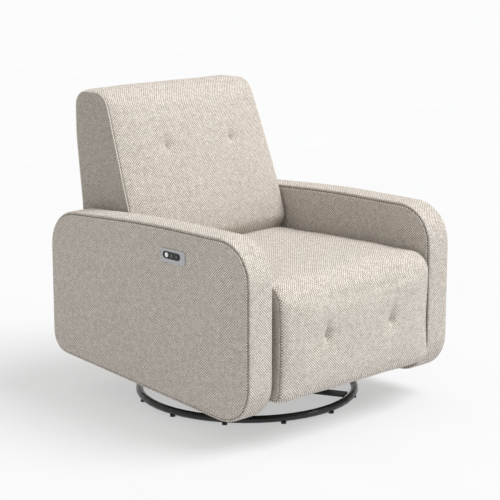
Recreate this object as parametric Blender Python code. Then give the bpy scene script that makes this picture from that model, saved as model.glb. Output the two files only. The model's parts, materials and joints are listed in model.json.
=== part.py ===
"""Upholstered power recliner on a round swivel and glider base.

Metres, +Z up.  The chair faces -Y and +X is on the right of someone looking at
its front.  The floor is Z = 0, and the origin is on the floor, under the middle
of the chair's box.  Each group of pieces that moves together hangs on an empty
placed on its joint's axis.
"""

import math

import bmesh
import bpy
from mathutils import Vector

# ---------------------------------------------------------------- dimensions

# Upholstered body
HALF_WIDTH = 0.430          # outer face of each arm
ARM_INNER = 0.328           # inner face of each arm
ARM_FRONT = -0.424
ARM_REAR = 0.464
ARM_TOP_FRONT = 0.607
ARM_TOP_REAR = 0.582
ARM_TOP_CROWN = 0.0115      # rise of the arm's top line between its ends
ARM_BOTTOM_AT_ZERO = 0.100  # height of the arm's lower edge at Y = 0
ARM_BOTTOM_SLOPE = 0.075    # rise of the lower edge towards the rear
SOFT_HALF_WIDTH = 0.322     # seat, back and footrest cushions
CUSHION_BOTTOM = 0.340
SEAT_REAR = 0.203
SEAT_FRONT = -0.330
SEAT_TOP_FRONT = 0.476
SEAT_TOP_REAR = 0.462
BACK_TOP = 0.954
BACK_BOTTOM = 0.350
FOOTREST_FRONT = -0.458
FOOTREST_BOTTOM = 0.124
FOOTREST_TOP = 0.474
FOOTREST_BACK = -0.3635
ARM_BOARD = (0.3715, 0.3865)        # inner and outer X of the board inside each arm
ARM_BOARD_FRONT = -0.319
ARM_BOARD_REAR = 0.389
ARM_BOARD_LIFT = 0.010              # the board's lower edge above the arm's own

# Joint axes, as (Y, Z)
SWIVEL_Y = 0.028
GLIDE_FRONT_TOP = (-0.070, 0.262)
GLIDE_REAR_TOP = (0.160, 0.262)
LINK_LENGTH = 0.120
RECLINE_AXIS = (0.300, 0.360)
FOOTREST_AXIS = (-0.400, 0.440)
CRANK_AXIS = (-0.050, 0.307)
CRANK_REACH = (0.060, -0.140)      # from the crank's axis to its side pins
MOTOR_CRANK_LENGTH = 0.100
TORQUE_TUBE_RADIUS = 0.0110
FOOTREST_TRAVEL = math.radians(85.0)

# Base
RING_RADIUS = 0.338
RING_TUBE = 0.0115
FOOT_HEIGHT = 0.0057
FOOT_RADIUS = 0.0085
FOOT_COUNT = 12
FOOT_PHASE = math.radians(5.0)
BAR_WIDTH = 0.044
BAR_THICKNESS = 0.006
BAR_LENGTH = 0.650
BAR_BOTTOM = 0.016
BAR_TURNS = (25.0, -65.0)           # degrees from +X
HUB_RADIUS = 0.105
HUB_THICKNESS = 0.006
BEARING_RADIUS = 0.078
BEARING_BORE = 0.040
BEARING_HEIGHT = 0.0195             # from the hub plate's top
BOLT_RADIUS = 0.0075
CARRIAGE_HALF = (0.2365, 0.150)     # half the turning plate, along X and Y
CARRIAGE_THICKNESS = 0.006
GAP = 0.0003                        # between pieces that touch

# Steel side plates and linkages: inner and outer X of each layer
SIDE_PLATE = (0.3060, 0.3120)
BACK_BRACKET = (0.2990, 0.3050)
FOOTREST_BRACKET = (0.3005, 0.3055)
PUSH_LINK = (0.2945, 0.2995)
CRANK_ARM = (0.2885, 0.2940)
HANGER = (0.2620, 0.2680)
GLIDE_LINK = (0.2465, 0.2515)
STAND = (0.2300, 0.2360)
NARROW_HALF_WIDTH = 0.2975          # soft parts where steel runs beside them
PIN_RADIUS = 0.006
SMALL_PIN_RADIUS = 0.005
EYE_RADIUS = 0.014
HANGER_BOTTOM = 0.126
RAIL_BOTTOM = 0.303
RAIL_TOP = 0.333
RAIL_DEPTH = 0.028
FRONT_RAIL_Y = -0.300
REAR_RAIL_Y = 0.270

# Control panel on the outside of the sitter's right arm
PANEL_CENTRE = (-0.118, 0.5245)
PANEL_SIZE = (0.103, 0.040)
PILL_CENTRE = (-0.1120, 0.526)
PILL_SIZE = (0.076, 0.022)
BUTTON_RADIUS = 0.0072
BUTTON_YS = {"return_button": -0.0905, "recline_button": -0.1330}

ARC_STEPS = 7
ROUND_STEPS = 20
FINE_ROUND_STEPS = 32
CUT_PAST = 0.010                    # how far a cutter runs past what it cuts

# Linear motor: the rail's top is where its block slides
MOTOR_FRONT = 0.118
MOTOR_BODY = ((-0.036, MOTOR_FRONT, 0.148), (0.036, 0.246, 0.212))
MOTOR_ARM = ((-0.014, 0.220, 0.200), (0.014, 0.292, RAIL_BOTTOM - GAP))
DRIVE_RAIL_TOP = 0.180
DRIVE_RAIL_DEPTH = 0.018
DRIVE_RAIL_FRONT = -0.165
DRIVE_RAIL_HALF_WIDTH = 0.012
DRIVE_BLOCK_HALF = (0.016, 0.020)   # half its size along X and Y
DRIVE_BLOCK_FLOOR = 0.194
DRIVE_BLOCK_TOP = 0.250
DRIVE_SLOT_HALF = 0.009

# Rear valance and the power socket in it
VALANCE_HALF_WIDTH = 0.3265
VALANCE_Y = (0.4455, 0.4605)
VALANCE_Z = (0.150, 0.335)
SOCKET_CENTRE = (0.262, 0.180)      # as (X, Z)
SOCKET_HALF = (0.0110, 0.0080)
SOCKET_Y = (0.4350, 0.4625)
SOCKET_BORE_HALF = (0.0070, 0.0040)
SOCKET_BORE_FLOOR = 0.4440


# ------------------------------------------------------------------- helpers

def clear_scene():
    """Remove every object that the file opened with."""
    for old in list(bpy.data.objects):
        bpy.data.objects.remove(old, do_unlink=True)


def make_material(name, colour, metallic, roughness):
    """A Principled material in one colour."""
    material = bpy.data.materials.new(name)
    material.use_nodes = True
    shader = material.node_tree.nodes["Principled BSDF"]
    shader.inputs["Base Color"].default_value = (*colour, 1.0)
    shader.inputs["Metallic"].default_value = metallic
    shader.inputs["Roughness"].default_value = roughness
    return material


def link_object(name, data, material=None, body=None):
    """Place mesh or curve data, drawn in world coordinates, under a body's empty."""
    piece = bpy.data.objects.new(name, data)
    bpy.context.scene.collection.objects.link(piece)
    if material is not None:
        data.materials.append(material)
    if body is not None:
        piece.parent = body["empty"]
        piece.location = -body["at"]
    return piece


def make_body(name, at, parent=None):
    """An empty on a joint's axis, under its parent body's empty."""
    empty = bpy.data.objects.new(name, None)
    bpy.context.scene.collection.objects.link(empty)
    place = Vector(at)
    if parent is None:
        empty.location = place
    else:
        empty.parent = parent["empty"]
        empty.location = place - parent["at"]
    return {"empty": empty, "at": place}


def mesh_from(bm, name, smooth=True):
    """Turn a bmesh into a mesh whose flat faces keep sharp edges."""
    bmesh.ops.recalc_face_normals(bm, faces=bm.faces)
    mesh = bpy.data.meshes.new(name)
    bm.to_mesh(mesh)
    bm.free()
    if smooth:
        mesh.shade_smooth()
        mesh.set_sharp_from_angle(angle=math.radians(35.0))
    return mesh


def add_prism_x(bm, outline, x_a, x_b):
    """Extrude a (Y, Z) outline between two X positions."""
    low, high = sorted((x_a, x_b))
    base = bm.faces.new([bm.verts.new((low, y, z)) for y, z in outline])
    grown = bmesh.ops.extrude_face_region(bm, geom=[base])
    moved = [item for item in grown["geom"] if isinstance(item, bmesh.types.BMVert)]
    bmesh.ops.translate(bm, verts=moved, vec=(high - low, 0.0, 0.0))


def add_prism_z(bm, outline, z_a, z_b):
    """Extrude an (X, Y) outline between two heights."""
    base = bm.faces.new([bm.verts.new((x, y, z_a)) for x, y in outline])
    grown = bmesh.ops.extrude_face_region(bm, geom=[base])
    moved = [item for item in grown["geom"] if isinstance(item, bmesh.types.BMVert)]
    bmesh.ops.translate(bm, verts=moved, vec=(0.0, 0.0, z_b - z_a))


def add_box(bm, low, high):
    """An axis-aligned box between two corners."""
    outline = [(low[0], low[1]), (high[0], low[1]), (high[0], high[1]), (low[0], high[1])]
    add_prism_z(bm, outline, low[2], high[2])


def circle(centre, radius, steps=ROUND_STEPS, phase=0.0):
    """Points around a circle."""
    turn = 2.0 * math.pi / steps
    return [(centre[0] + radius * math.cos(phase + turn * step),
             centre[1] + radius * math.sin(phase + turn * step)) for step in range(steps)]


def pill(centre, size, steps=ARC_STEPS):
    """A slot-shaped (Y, Z) outline, long along Y."""
    radius = size[1] / 2.0
    reach = size[0] / 2.0 - radius
    points = []
    for side in (1.0, -1.0):
        for step in range(steps + 1):
            angle = side * math.pi / 2.0 - math.pi * step / steps
            points.append((centre[0] + side * reach + radius * math.cos(angle),
                           centre[1] + radius * math.sin(angle)))
    return points


def rounded(corners, steps=ARC_STEPS):
    """A polygon with each corner (Y, Z, radius) replaced by an arc."""
    points = []
    for index, (y, z, radius) in enumerate(corners):
        corner = Vector((y, z))
        if radius <= 0.0:
            points.append((y, z))
            continue
        before = (Vector(corners[index - 1][:2]) - corner).normalized()
        after = (Vector(corners[(index + 1) % len(corners)][:2]) - corner).normalized()
        half = before.angle(after) / 2.0
        middle = (before + after).normalized()
        centre = corner + middle * (radius / math.sin(half))
        start = corner + before * (radius / math.tan(half)) - centre
        end = corner + after * (radius / math.tan(half)) - centre
        first = math.atan2(start.y, start.x)
        sweep = math.atan2(end.y, end.x) - first
        sweep = (sweep + math.pi) % (2.0 * math.pi) - math.pi
        for step in range(steps + 1):
            angle = first + sweep * step / steps
            points.append((centre.x + radius * math.cos(angle),
                           centre.y + radius * math.sin(angle)))
    return points


def modify(piece, operation, tool):
    """Join a hidden tool body to a piece, or cut it away."""
    tool.hide_render = True
    tool.display_type = "WIRE"
    modifier = piece.modifiers.new(operation.title(), "BOOLEAN")
    modifier.operation = operation
    modifier.solver = "EXACT"
    modifier.object = tool


def make_tool(name, shapes, body):
    """One hidden tool object from a list of (add function, arguments)."""
    bm = bmesh.new()
    for add, arguments in shapes:
        add(bm, *arguments)
    return link_object(name, mesh_from(bm, name, smooth=False), body=body)


def make_plate(name, outline, layer, side, material, body, holes=(), pins=()):
    """A flat part across X, with round holes (y, z, r) and pins (y, z, r, x_a, x_b)."""
    bm = bmesh.new()
    add_prism_x(bm, outline, side * layer[0], side * layer[1])
    piece = link_object(name, mesh_from(bm, name), material, body)
    if pins:
        shapes = [(add_prism_x, (circle((y, z), r), side * a, side * b)) for y, z, r, a, b in pins]
        modify(piece, "UNION", make_tool(name + "_pins", shapes, body))
    if holes:
        shapes = [(add_prism_x, (circle((y, z), r), side * (layer[0] - CUT_PAST),
                                 side * (layer[1] + CUT_PAST))) for y, z, r in holes]
        modify(piece, "DIFFERENCE", make_tool(name + "_holes", shapes, body))
    return piece


def make_boxes(name, boxes, material, body):
    """A piece made of one box, or of overlapping boxes joined into one body."""
    bm = bmesh.new()
    add_box(bm, *boxes[0])
    piece = link_object(name, mesh_from(bm, name, smooth=False), material, body)
    for number, corners in enumerate(boxes[1:]):
        tool = make_tool(f"{name}_join_{number}", [(add_box, corners)], body)
        modify(piece, "UNION", tool)
    return piece


def link_outline(first, second, radius, steps=ARC_STEPS):
    """The outline of a bar with round ends around two pivots."""
    start = Vector(first)
    along = (Vector(second) - start).normalized()
    angle = math.atan2(along.y, along.x)
    points = []
    for centre, base in ((first, angle + math.pi / 2.0), (second, angle - math.pi / 2.0)):
        for step in range(steps + 1):
            turn = base + math.pi * step / steps
            points.append((centre[0] + radius * math.cos(turn),
                           centre[1] + radius * math.sin(turn)))
    return points


def shifted(point, offset):
    """A (Y, Z) point moved by an offset."""
    return (point[0] + offset[0], point[1] + offset[1])


def below(point, distance):
    """A (Y, Z) point moved straight down."""
    return (point[0], point[1] - distance)


SIDES = {"right": -1.0, "left": 1.0}    # the sitter's right arm is at -X


# ---------------------------------------------------------------------- base

def build_base(body, steel, nylon, zinc):
    """Tubular ring on glide feet, crossed bars, bearing and centre bolt."""
    centre = (0.0, SWIVEL_Y)
    ring_z = FOOT_HEIGHT + GAP + RING_TUBE
    ring_steps = 56
    tube_steps = 10
    bm = bmesh.new()
    rows = []
    for step in range(ring_steps):
        angle = 2.0 * math.pi * step / ring_steps
        row = []
        for y_off, z_off in circle((0.0, 0.0), RING_TUBE, tube_steps, math.pi / tube_steps):
            reach = RING_RADIUS + y_off
            row.append(bm.verts.new((reach * math.cos(angle),
                                     SWIVEL_Y + reach * math.sin(angle), ring_z + z_off)))
        rows.append(row)
    for step in range(ring_steps):
        here = rows[step]
        there = rows[(step + 1) % ring_steps]
        for side in range(tube_steps):
            other = (side + 1) % tube_steps
            bm.faces.new((here[side], here[other], there[other], there[side]))
    link_object("base_ring", mesh_from(bm, "base_ring"), steel, body)

    for number in range(FOOT_COUNT):
        angle = FOOT_PHASE + 2.0 * math.pi * number / FOOT_COUNT
        place = (RING_RADIUS * math.cos(angle), SWIVEL_Y + RING_RADIUS * math.sin(angle))
        bm = bmesh.new()
        add_prism_z(bm, circle(place, FOOT_RADIUS, 12), 0.0, FOOT_HEIGHT)
        name = f"glide_foot_{number + 1:02d}"
        link_object(name, mesh_from(bm, name), nylon, body)

    for name, turn, low in (("base_bar_lower", BAR_TURNS[0], BAR_BOTTOM),
                            ("base_bar_upper", BAR_TURNS[1], BAR_BOTTOM + BAR_THICKNESS + GAP)):
        angle = math.radians(turn)
        along = Vector((math.cos(angle), math.sin(angle))) * (BAR_LENGTH / 2.0)
        across = Vector((-math.sin(angle), math.cos(angle))) * (BAR_WIDTH / 2.0)
        corners = [Vector(centre) + along * a + across * b
                   for a, b in ((-1, -1), (1, -1), (1, 1), (-1, 1))]
        bm = bmesh.new()
        add_prism_z(bm, [tuple(corner) for corner in corners], low, low + BAR_THICKNESS)
        link_object(name, mesh_from(bm, name, smooth=False), steel, body)

    hub_bottom = BAR_BOTTOM + 2.0 * (BAR_THICKNESS + GAP)
    hub_top = hub_bottom + HUB_THICKNESS
    bm = bmesh.new()
    add_prism_z(bm, circle(centre, HUB_RADIUS, FINE_ROUND_STEPS), hub_bottom, hub_top)
    link_object("hub_plate", mesh_from(bm, "hub_plate"), steel, body)

    bearing_top = hub_top + BEARING_HEIGHT
    bm = bmesh.new()
    add_prism_z(bm, circle(centre, BEARING_RADIUS, FINE_ROUND_STEPS), hub_top + GAP, bearing_top)
    bearing = link_object("swivel_bearing", mesh_from(bm, "swivel_bearing"), zinc, body)
    bore = [(add_prism_z, (circle(centre, BEARING_BORE), hub_top - CUT_PAST, bearing_top + CUT_PAST))]
    modify(bearing, "DIFFERENCE", make_tool("swivel_bearing_bore", bore, body))

    nut_low = bearing_top + 0.0085
    nut_high = bearing_top + 0.0170
    nut_radius = 0.016
    washer_radius = 0.030
    washer_top = hub_top + 0.004
    bm = bmesh.new()
    add_prism_z(bm, circle(centre, BOLT_RADIUS), hub_top + GAP, nut_low + 0.0035)
    bolt = link_object("centre_bolt", mesh_from(bm, "centre_bolt"), zinc, body)
    head = [(add_prism_z, (circle(centre, nut_radius, 6), nut_low, nut_high)),
            (add_prism_z, (circle(centre, washer_radius), hub_top + GAP, washer_top))]
    modify(bolt, "UNION", make_tool("centre_bolt_head", head, body))
    return bearing_top


def build_carriage(body, steel, bearing_top):
    """The turning plate and the two stands that the glide links hang from."""
    low = bearing_top + GAP
    high = low + CARRIAGE_THICKNESS
    half_width, half_depth = CARRIAGE_HALF
    bm = bmesh.new()
    add_box(bm, (-half_width, SWIVEL_Y - half_depth, low), (half_width, SWIVEL_Y + half_depth, high))
    plate = link_object("swivel_plate", mesh_from(bm, "swivel_plate", smooth=False), steel, body)
    bore = [(add_prism_z, (circle((0.0, SWIVEL_Y), BOLT_RADIUS + 0.0005), low - CUT_PAST,
                           high + CUT_PAST))]
    modify(plate, "DIFFERENCE", make_tool("swivel_plate_bore", bore, body))

    foot = high + GAP
    foot_half = half_depth - 0.010
    past_pin = 0.020
    over_pin = 0.016
    outline = rounded([(SWIVEL_Y - foot_half, foot, 0.0), (SWIVEL_Y + foot_half, foot, 0.0),
                       (GLIDE_REAR_TOP[0] + past_pin, GLIDE_REAR_TOP[1] + over_pin, 0.012),
                       (GLIDE_FRONT_TOP[0] - past_pin, GLIDE_FRONT_TOP[1] + over_pin, 0.012)])
    for name, side in SIDES.items():
        pins = [(*top, PIN_RADIUS, STAND[0] + 0.002, GLIDE_LINK[1] + 0.005)
                for top in (GLIDE_FRONT_TOP, GLIDE_REAR_TOP)]
        make_plate(f"glide_stand_{name}", outline, STAND, side, steel, body, pins=pins)


def build_glide_links(body, label, top, zinc):
    """The left and right links of one end of the glider."""
    bottom = below(top, LINK_LENGTH)
    eye = PIN_RADIUS + GAP
    for name, side in SIDES.items():
        make_plate(f"glide_link_{label}_{name}", link_outline(top, bottom, EYE_RADIUS),
                   GLIDE_LINK, side, zinc, body, holes=[(*top, eye), (*bottom, eye)])


# ---------------------------------------------------------------- seat frame

def side_plate_outline():
    """The mechanism's side plate: footrest arm, long rail and recline lug."""
    front_y, front_z = FOOTREST_AXIS
    rear_y, rear_z = RECLINE_AXIS
    eye = EYE_RADIUS
    outline = [(rear_y + 0.030, 0.285), (-0.349, 0.285), (-0.349, front_z - 0.028),
               (front_y + 0.004, front_z - eye)]
    for step in range(1, ARC_STEPS):
        angle = -math.pi / 2.0 - math.pi * step / ARC_STEPS
        outline.append((front_y + eye * math.cos(angle), front_z + eye * math.sin(angle)))
    outline += [(front_y + 0.004, front_z + eye), (-0.335, front_z), (-0.335, 0.330),
                (rear_y - 0.030, 0.330)]
    for step in range(ARC_STEPS + 1):
        angle = math.pi - math.pi * step / ARC_STEPS
        outline.append((rear_y + eye * math.cos(angle), rear_z + eye * math.sin(angle)))
    return outline


def build_seat_structure(body, steel, zinc, wood, spring_steel):
    """Side plates, wooden rails, glide hangers and sinuous seat springs."""
    eye = PIN_RADIUS + GAP
    tube_hole = TORQUE_TUBE_RADIUS + GAP
    front_low = below(GLIDE_FRONT_TOP, LINK_LENGTH)
    rear_low = below(GLIDE_REAR_TOP, LINK_LENGTH)
    hanger = [(FRONT_RAIL_Y + RAIL_DEPTH + GAP, RAIL_TOP), (REAR_RAIL_Y - GAP, RAIL_TOP),
              (REAR_RAIL_Y - GAP, 0.300), (rear_low[0] + 0.018, HANGER_BOTTOM),
              (front_low[0] - 0.018, HANGER_BOTTOM),
              (FRONT_RAIL_Y + RAIL_DEPTH + GAP, 0.300)]
    for name, side in SIDES.items():
        make_plate(f"side_plate_{name}", side_plate_outline(), SIDE_PLATE, side, steel, body,
                   holes=[(*FOOTREST_AXIS, eye), (*RECLINE_AXIS, eye), (*CRANK_AXIS, tube_hole)])
        pins = [(*low, PIN_RADIUS, GLIDE_LINK[0] - 0.002, HANGER[0] + 0.003)
                for low in (front_low, rear_low)]
        make_plate(f"glide_hanger_{name}", hanger, HANGER, side, steel, body,
                   holes=[(*CRANK_AXIS, 0.0125)], pins=pins)

    reach = SIDE_PLATE[0] - 0.0005
    for name, start in (("front_rail", FRONT_RAIL_Y), ("rear_rail", REAR_RAIL_Y)):
        make_boxes(name, [((-reach, start, RAIL_BOTTOM), (reach, start + RAIL_DEPTH, RAIL_TOP))],
                   wood, body)

    wire = 0.0018
    loops = 11
    first = FRONT_RAIL_Y + RAIL_DEPTH / 2.0
    last = REAR_RAIL_Y + RAIL_DEPTH / 2.0
    swing = 0.024
    steps_per_loop = 6
    for number, x_centre in enumerate((-0.17, -0.057, 0.057, 0.17)):
        name = f"seat_spring_{number + 1}"
        curve = bpy.data.curves.new(name, "CURVE")
        curve.dimensions = "3D"
        curve.bevel_depth = wire
        curve.bevel_resolution = 1
        curve.use_fill_caps = True
        curve.render_resolution_u = 0
        count = loops * steps_per_loop + 1
        spline = curve.splines.new("POLY")
        spline.points.add(count - 1)
        for step, point in enumerate(spline.points):
            share = step / (count - 1)
            sideways = swing * math.sin(2.0 * math.pi * loops * share / 2.0)
            y = first + (last - first) * share
            point.co = (x_centre + sideways, y, RAIL_TOP + GAP + wire + 0.0004, 1.0)
        link_object(name, curve, spring_steel, body)


def build_drive(body, plastic, zinc):
    """Linear motor and its rail, hung on the rear rail."""
    make_boxes("drive_motor", [MOTOR_BODY, MOTOR_ARM], plastic, body)
    half = DRIVE_RAIL_HALF_WIDTH
    rail = ((-half, DRIVE_RAIL_FRONT, DRIVE_RAIL_TOP - DRIVE_RAIL_DEPTH),
            (half, MOTOR_FRONT - GAP, DRIVE_RAIL_TOP))
    make_boxes("drive_rail", [rail], zinc, body)


def arm_lower_edge(y):
    """Height of the arm's raked lower edge."""
    return ARM_BOTTOM_AT_ZERO + ARM_BOTTOM_SLOPE * y


def arm_outline():
    """The arm's side outline (Y, Z): crowned top, raked lower edge, four round corners."""
    corners = rounded([(ARM_FRONT, arm_lower_edge(ARM_FRONT), 0.115),
                       (ARM_REAR, arm_lower_edge(ARM_REAR), 0.062),
                       (ARM_REAR, ARM_TOP_REAR, 0.115),
                       (ARM_FRONT, ARM_TOP_FRONT, 0.118)])
    per_corner = ARC_STEPS + 1
    rear_end = corners[3 * per_corner - 1]
    front_start = corners[3 * per_corner]
    crown = []
    crown_steps = 6
    for step in range(1, crown_steps):
        share = step / crown_steps
        rise = 4.0 * ARM_TOP_CROWN * share * (1.0 - share)
        crown.append((rear_end[0] + (front_start[0] - rear_end[0]) * share,
                      rear_end[1] + (front_start[1] - rear_end[1]) * share + rise))
    return corners[:3 * per_corner] + crown + corners[3 * per_corner:]


def arm_board_outline(lift):
    """The board inside an arm; lift is its bottom edge's height over the arm's own."""
    low_front = arm_lower_edge(ARM_BOARD_FRONT) + lift
    low_rear = arm_lower_edge(ARM_BOARD_REAR) + lift
    return rounded([(ARM_BOARD_FRONT, low_front, 0.0), (ARM_BOARD_REAR, low_rear, 0.0),
                    (ARM_BOARD_REAR, 0.535, 0.040), (ARM_BOARD_FRONT, 0.545, 0.040)], steps=4)


def grown(outline, amount):
    """A convex outline moved outwards, away from its own middle."""
    middle = Vector((sum(y for y, z in outline), sum(z for y, z in outline))) / len(outline)
    points = []
    for y, z in outline:
        offset = Vector((y, z)) - middle
        points.append(tuple(middle + offset * (1.0 + amount / offset.length)))
    return points


def build_arms(body, fabric, wood):
    """Padded arm covers, each with a board in a pocket that opens downwards."""
    margin = 0.0006
    pocket_lift = -0.030
    switch_depth = 0.0285
    for name, side in SIDES.items():
        cover = make_plate(f"arm_cover_{name}", arm_outline(), (ARM_INNER, HALF_WIDTH), side,
                           fabric, body)
        pocket = [(add_prism_x, (grown(arm_board_outline(pocket_lift), margin),
                                 side * (ARM_BOARD[0] - margin), side * (ARM_BOARD[1] + margin)))]
        modify(cover, "DIFFERENCE", make_tool(f"arm_cover_{name}_pocket", pocket, body))
        if name == "right":
            opening = (PILL_SIZE[0] + 0.001, PILL_SIZE[1] + 0.001)
            hole = [(add_prism_x, (pill(PILL_CENTRE, opening), -HALF_WIDTH - CUT_PAST,
                                   -HALF_WIDTH + switch_depth))]
            modify(cover, "DIFFERENCE", make_tool("switch_pocket", hole, body))
        make_plate(f"arm_board_{name}", arm_board_outline(ARM_BOARD_LIFT), ARM_BOARD, side, wood,
                   body)


def build_control_panel(body, brushed, black):
    """Metal panel and black switch housing on the outside of the right arm."""
    face = -HALF_WIDTH
    half = (PANEL_SIZE[0] / 2.0, PANEL_SIZE[1] / 2.0)
    corners = [(PANEL_CENTRE[0] + a * half[0], PANEL_CENTRE[1] + b * half[1], 0.003)
               for a, b in ((-1, -1), (1, -1), (1, 1), (-1, 1))]
    bm = bmesh.new()
    add_prism_x(bm, rounded(corners, steps=3), face - 0.0016, face - GAP)
    panel = link_object("control_panel", mesh_from(bm, "control_panel"), brushed, body)
    opening = [(add_prism_x, (pill(PILL_CENTRE, PILL_SIZE), face - 0.01, face + 0.01))]
    modify(panel, "DIFFERENCE", make_tool("control_panel_opening", opening, body))

    slim = (PILL_SIZE[0] - 2.0 * GAP, PILL_SIZE[1] - 2.0 * GAP)
    bm = bmesh.new()
    add_prism_x(bm, pill(PILL_CENTRE, slim), face - 0.0020, face + 0.0260)
    housing = link_object("switch_housing", mesh_from(bm, "switch_housing"), black, body)
    rim = 0.0016
    well = (slim[0] - 2.0 * rim, slim[1] - 2.0 * rim)
    recess = [(add_prism_x, (pill(PILL_CENTRE, well), face - 0.01, face - 0.0006))]
    bores = [(add_prism_x, (circle((y, PILL_CENTRE[1]), BUTTON_RADIUS + GAP),
                            face - 0.005, face + 0.0080)) for y in BUTTON_YS.values()]
    modify(housing, "DIFFERENCE", make_tool("switch_housing_well", recess, body))
    modify(housing, "DIFFERENCE", make_tool("switch_housing_bores", bores, body))


def build_button(name, body, material):
    """One push button, a short round plunger."""
    inner_end = HALF_WIDTH - 0.0060
    face = HALF_WIDTH + 0.0018
    make_plate(name, circle((BUTTON_YS[name], PILL_CENTRE[1]), BUTTON_RADIUS), (inner_end, face),
               -1.0, material, body)


def build_rear_valance(body, fabric, black):
    """Padded panel across the rear below the back, with the power socket in it."""
    bm = bmesh.new()
    add_box(bm, (-VALANCE_HALF_WIDTH, VALANCE_Y[0], VALANCE_Z[0]),
            (VALANCE_HALF_WIDTH, VALANCE_Y[1], VALANCE_Z[1]))
    valance = link_object("rear_valance", mesh_from(bm, "rear_valance", smooth=False), fabric, body)
    window = socket_box(SOCKET_HALF, GAP, VALANCE_Y[0] - CUT_PAST, VALANCE_Y[1] + CUT_PAST)
    modify(valance, "DIFFERENCE", make_tool("rear_valance_window", [(add_box, window)], body))
    inlet = make_boxes("power_inlet", [socket_box(SOCKET_HALF, 0.0, *SOCKET_Y)], black, body)
    bore = socket_box(SOCKET_BORE_HALF, 0.0, SOCKET_BORE_FLOOR, SOCKET_Y[1] + CUT_PAST)
    modify(inlet, "DIFFERENCE", make_tool("power_inlet_bore", [(add_box, bore)], body))


def socket_box(half, margin, y_low, y_high):
    """A box round the power socket's centre, from one Y to another."""
    x, z = SOCKET_CENTRE
    return ((x - half[0] - margin, y_low, z - half[1] - margin),
            (x + half[0] + margin, y_high, z + half[1] + margin))


def build_seat_cushion(body, fabric):
    """The seat pad between the arms."""
    outline = rounded([(SEAT_FRONT, CUSHION_BOTTOM, 0.006), (SEAT_REAR, CUSHION_BOTTOM, 0.006),
                       (SEAT_REAR, SEAT_TOP_REAR, 0.020), (SEAT_FRONT, SEAT_TOP_FRONT, 0.020)],
                      steps=4)
    make_plate("seat_cushion", outline, (-SOFT_HALF_WIDTH, SOFT_HALF_WIDTH), 1.0, fabric, body)


# ---------------------------------------------------------------------- back

BOARD_BOTTOM = (0.335, 0.352)
BOARD_TOP = (0.398, 0.900)
BOARD_THICKNESS = 0.015


def back_board_outline(grow=0.0, drop=0.0):
    """The raked back board seen from the side."""
    along = (Vector(BOARD_TOP) - Vector(BOARD_BOTTOM)).normalized()
    across = Vector((along.y, -along.x)) * (BOARD_THICKNESS / 2.0 + grow)
    low = Vector(BOARD_BOTTOM) - along * drop
    high = Vector(BOARD_TOP) + along * grow
    return [tuple(low - across), tuple(low + across), tuple(high + across), tuple(high - across)]


def build_back(body, fabric, wood, steel):
    """Back cushion pulled over a board, and the brackets that it reclines on."""
    profile = rounded([(0.212, BACK_BOTTOM, 0.0), (0.425, BACK_BOTTOM, 0.010),
                       (0.433, 0.580, 0.0), (0.462, 0.950, 0.048), (0.322, 0.956, 0.052),
                       (0.181, 0.497, 0.016), (0.206, 0.452, 0.0)], steps=5)
    cushion = make_plate("back_cushion", profile, (-SOFT_HALF_WIDTH, SOFT_HALF_WIDTH), 1.0,
                         fabric, body)
    pocket = [(add_prism_x, (back_board_outline(0.0005, 0.05), -0.2985 - GAP, 0.2985 + GAP))]
    modify(cushion, "DIFFERENCE", make_tool("back_cushion_pocket", pocket, body))
    notches = [(add_box, ((side_low, 0.15, 0.30), (side_high, 0.48, 0.485)))
               for side_low, side_high in ((-0.35, -NARROW_HALF_WIDTH), (NARROW_HALF_WIDTH, 0.35))]
    modify(cushion, "DIFFERENCE", make_tool("back_cushion_notches", notches, body))

    half = BACK_BRACKET[0] - 0.0005
    make_plate("back_board", back_board_outline(), (-half, half), 1.0, wood, body)

    pivot_y, pivot_z = RECLINE_AXIS
    for name, side in SIDES.items():
        outline = [(pivot_y + 0.062, pivot_z + 0.105), (pivot_y + 0.030, pivot_z + 0.105)]
        for step in range(ARC_STEPS + 1):
            angle = math.radians(160.0) + math.pi * step / ARC_STEPS
            outline.append((pivot_y + EYE_RADIUS * math.cos(angle),
                            pivot_z + EYE_RADIUS * math.sin(angle)))
        outline.append((pivot_y + 0.058, pivot_z - 0.004))
        pins = [(*RECLINE_AXIS, PIN_RADIUS, BACK_BRACKET[0] + 0.002, SIDE_PLATE[1] + 0.002)]
        make_plate(f"back_bracket_{name}", outline, BACK_BRACKET, side, steel, body, pins=pins)


# ------------------------------------------------------------------ footrest

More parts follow.
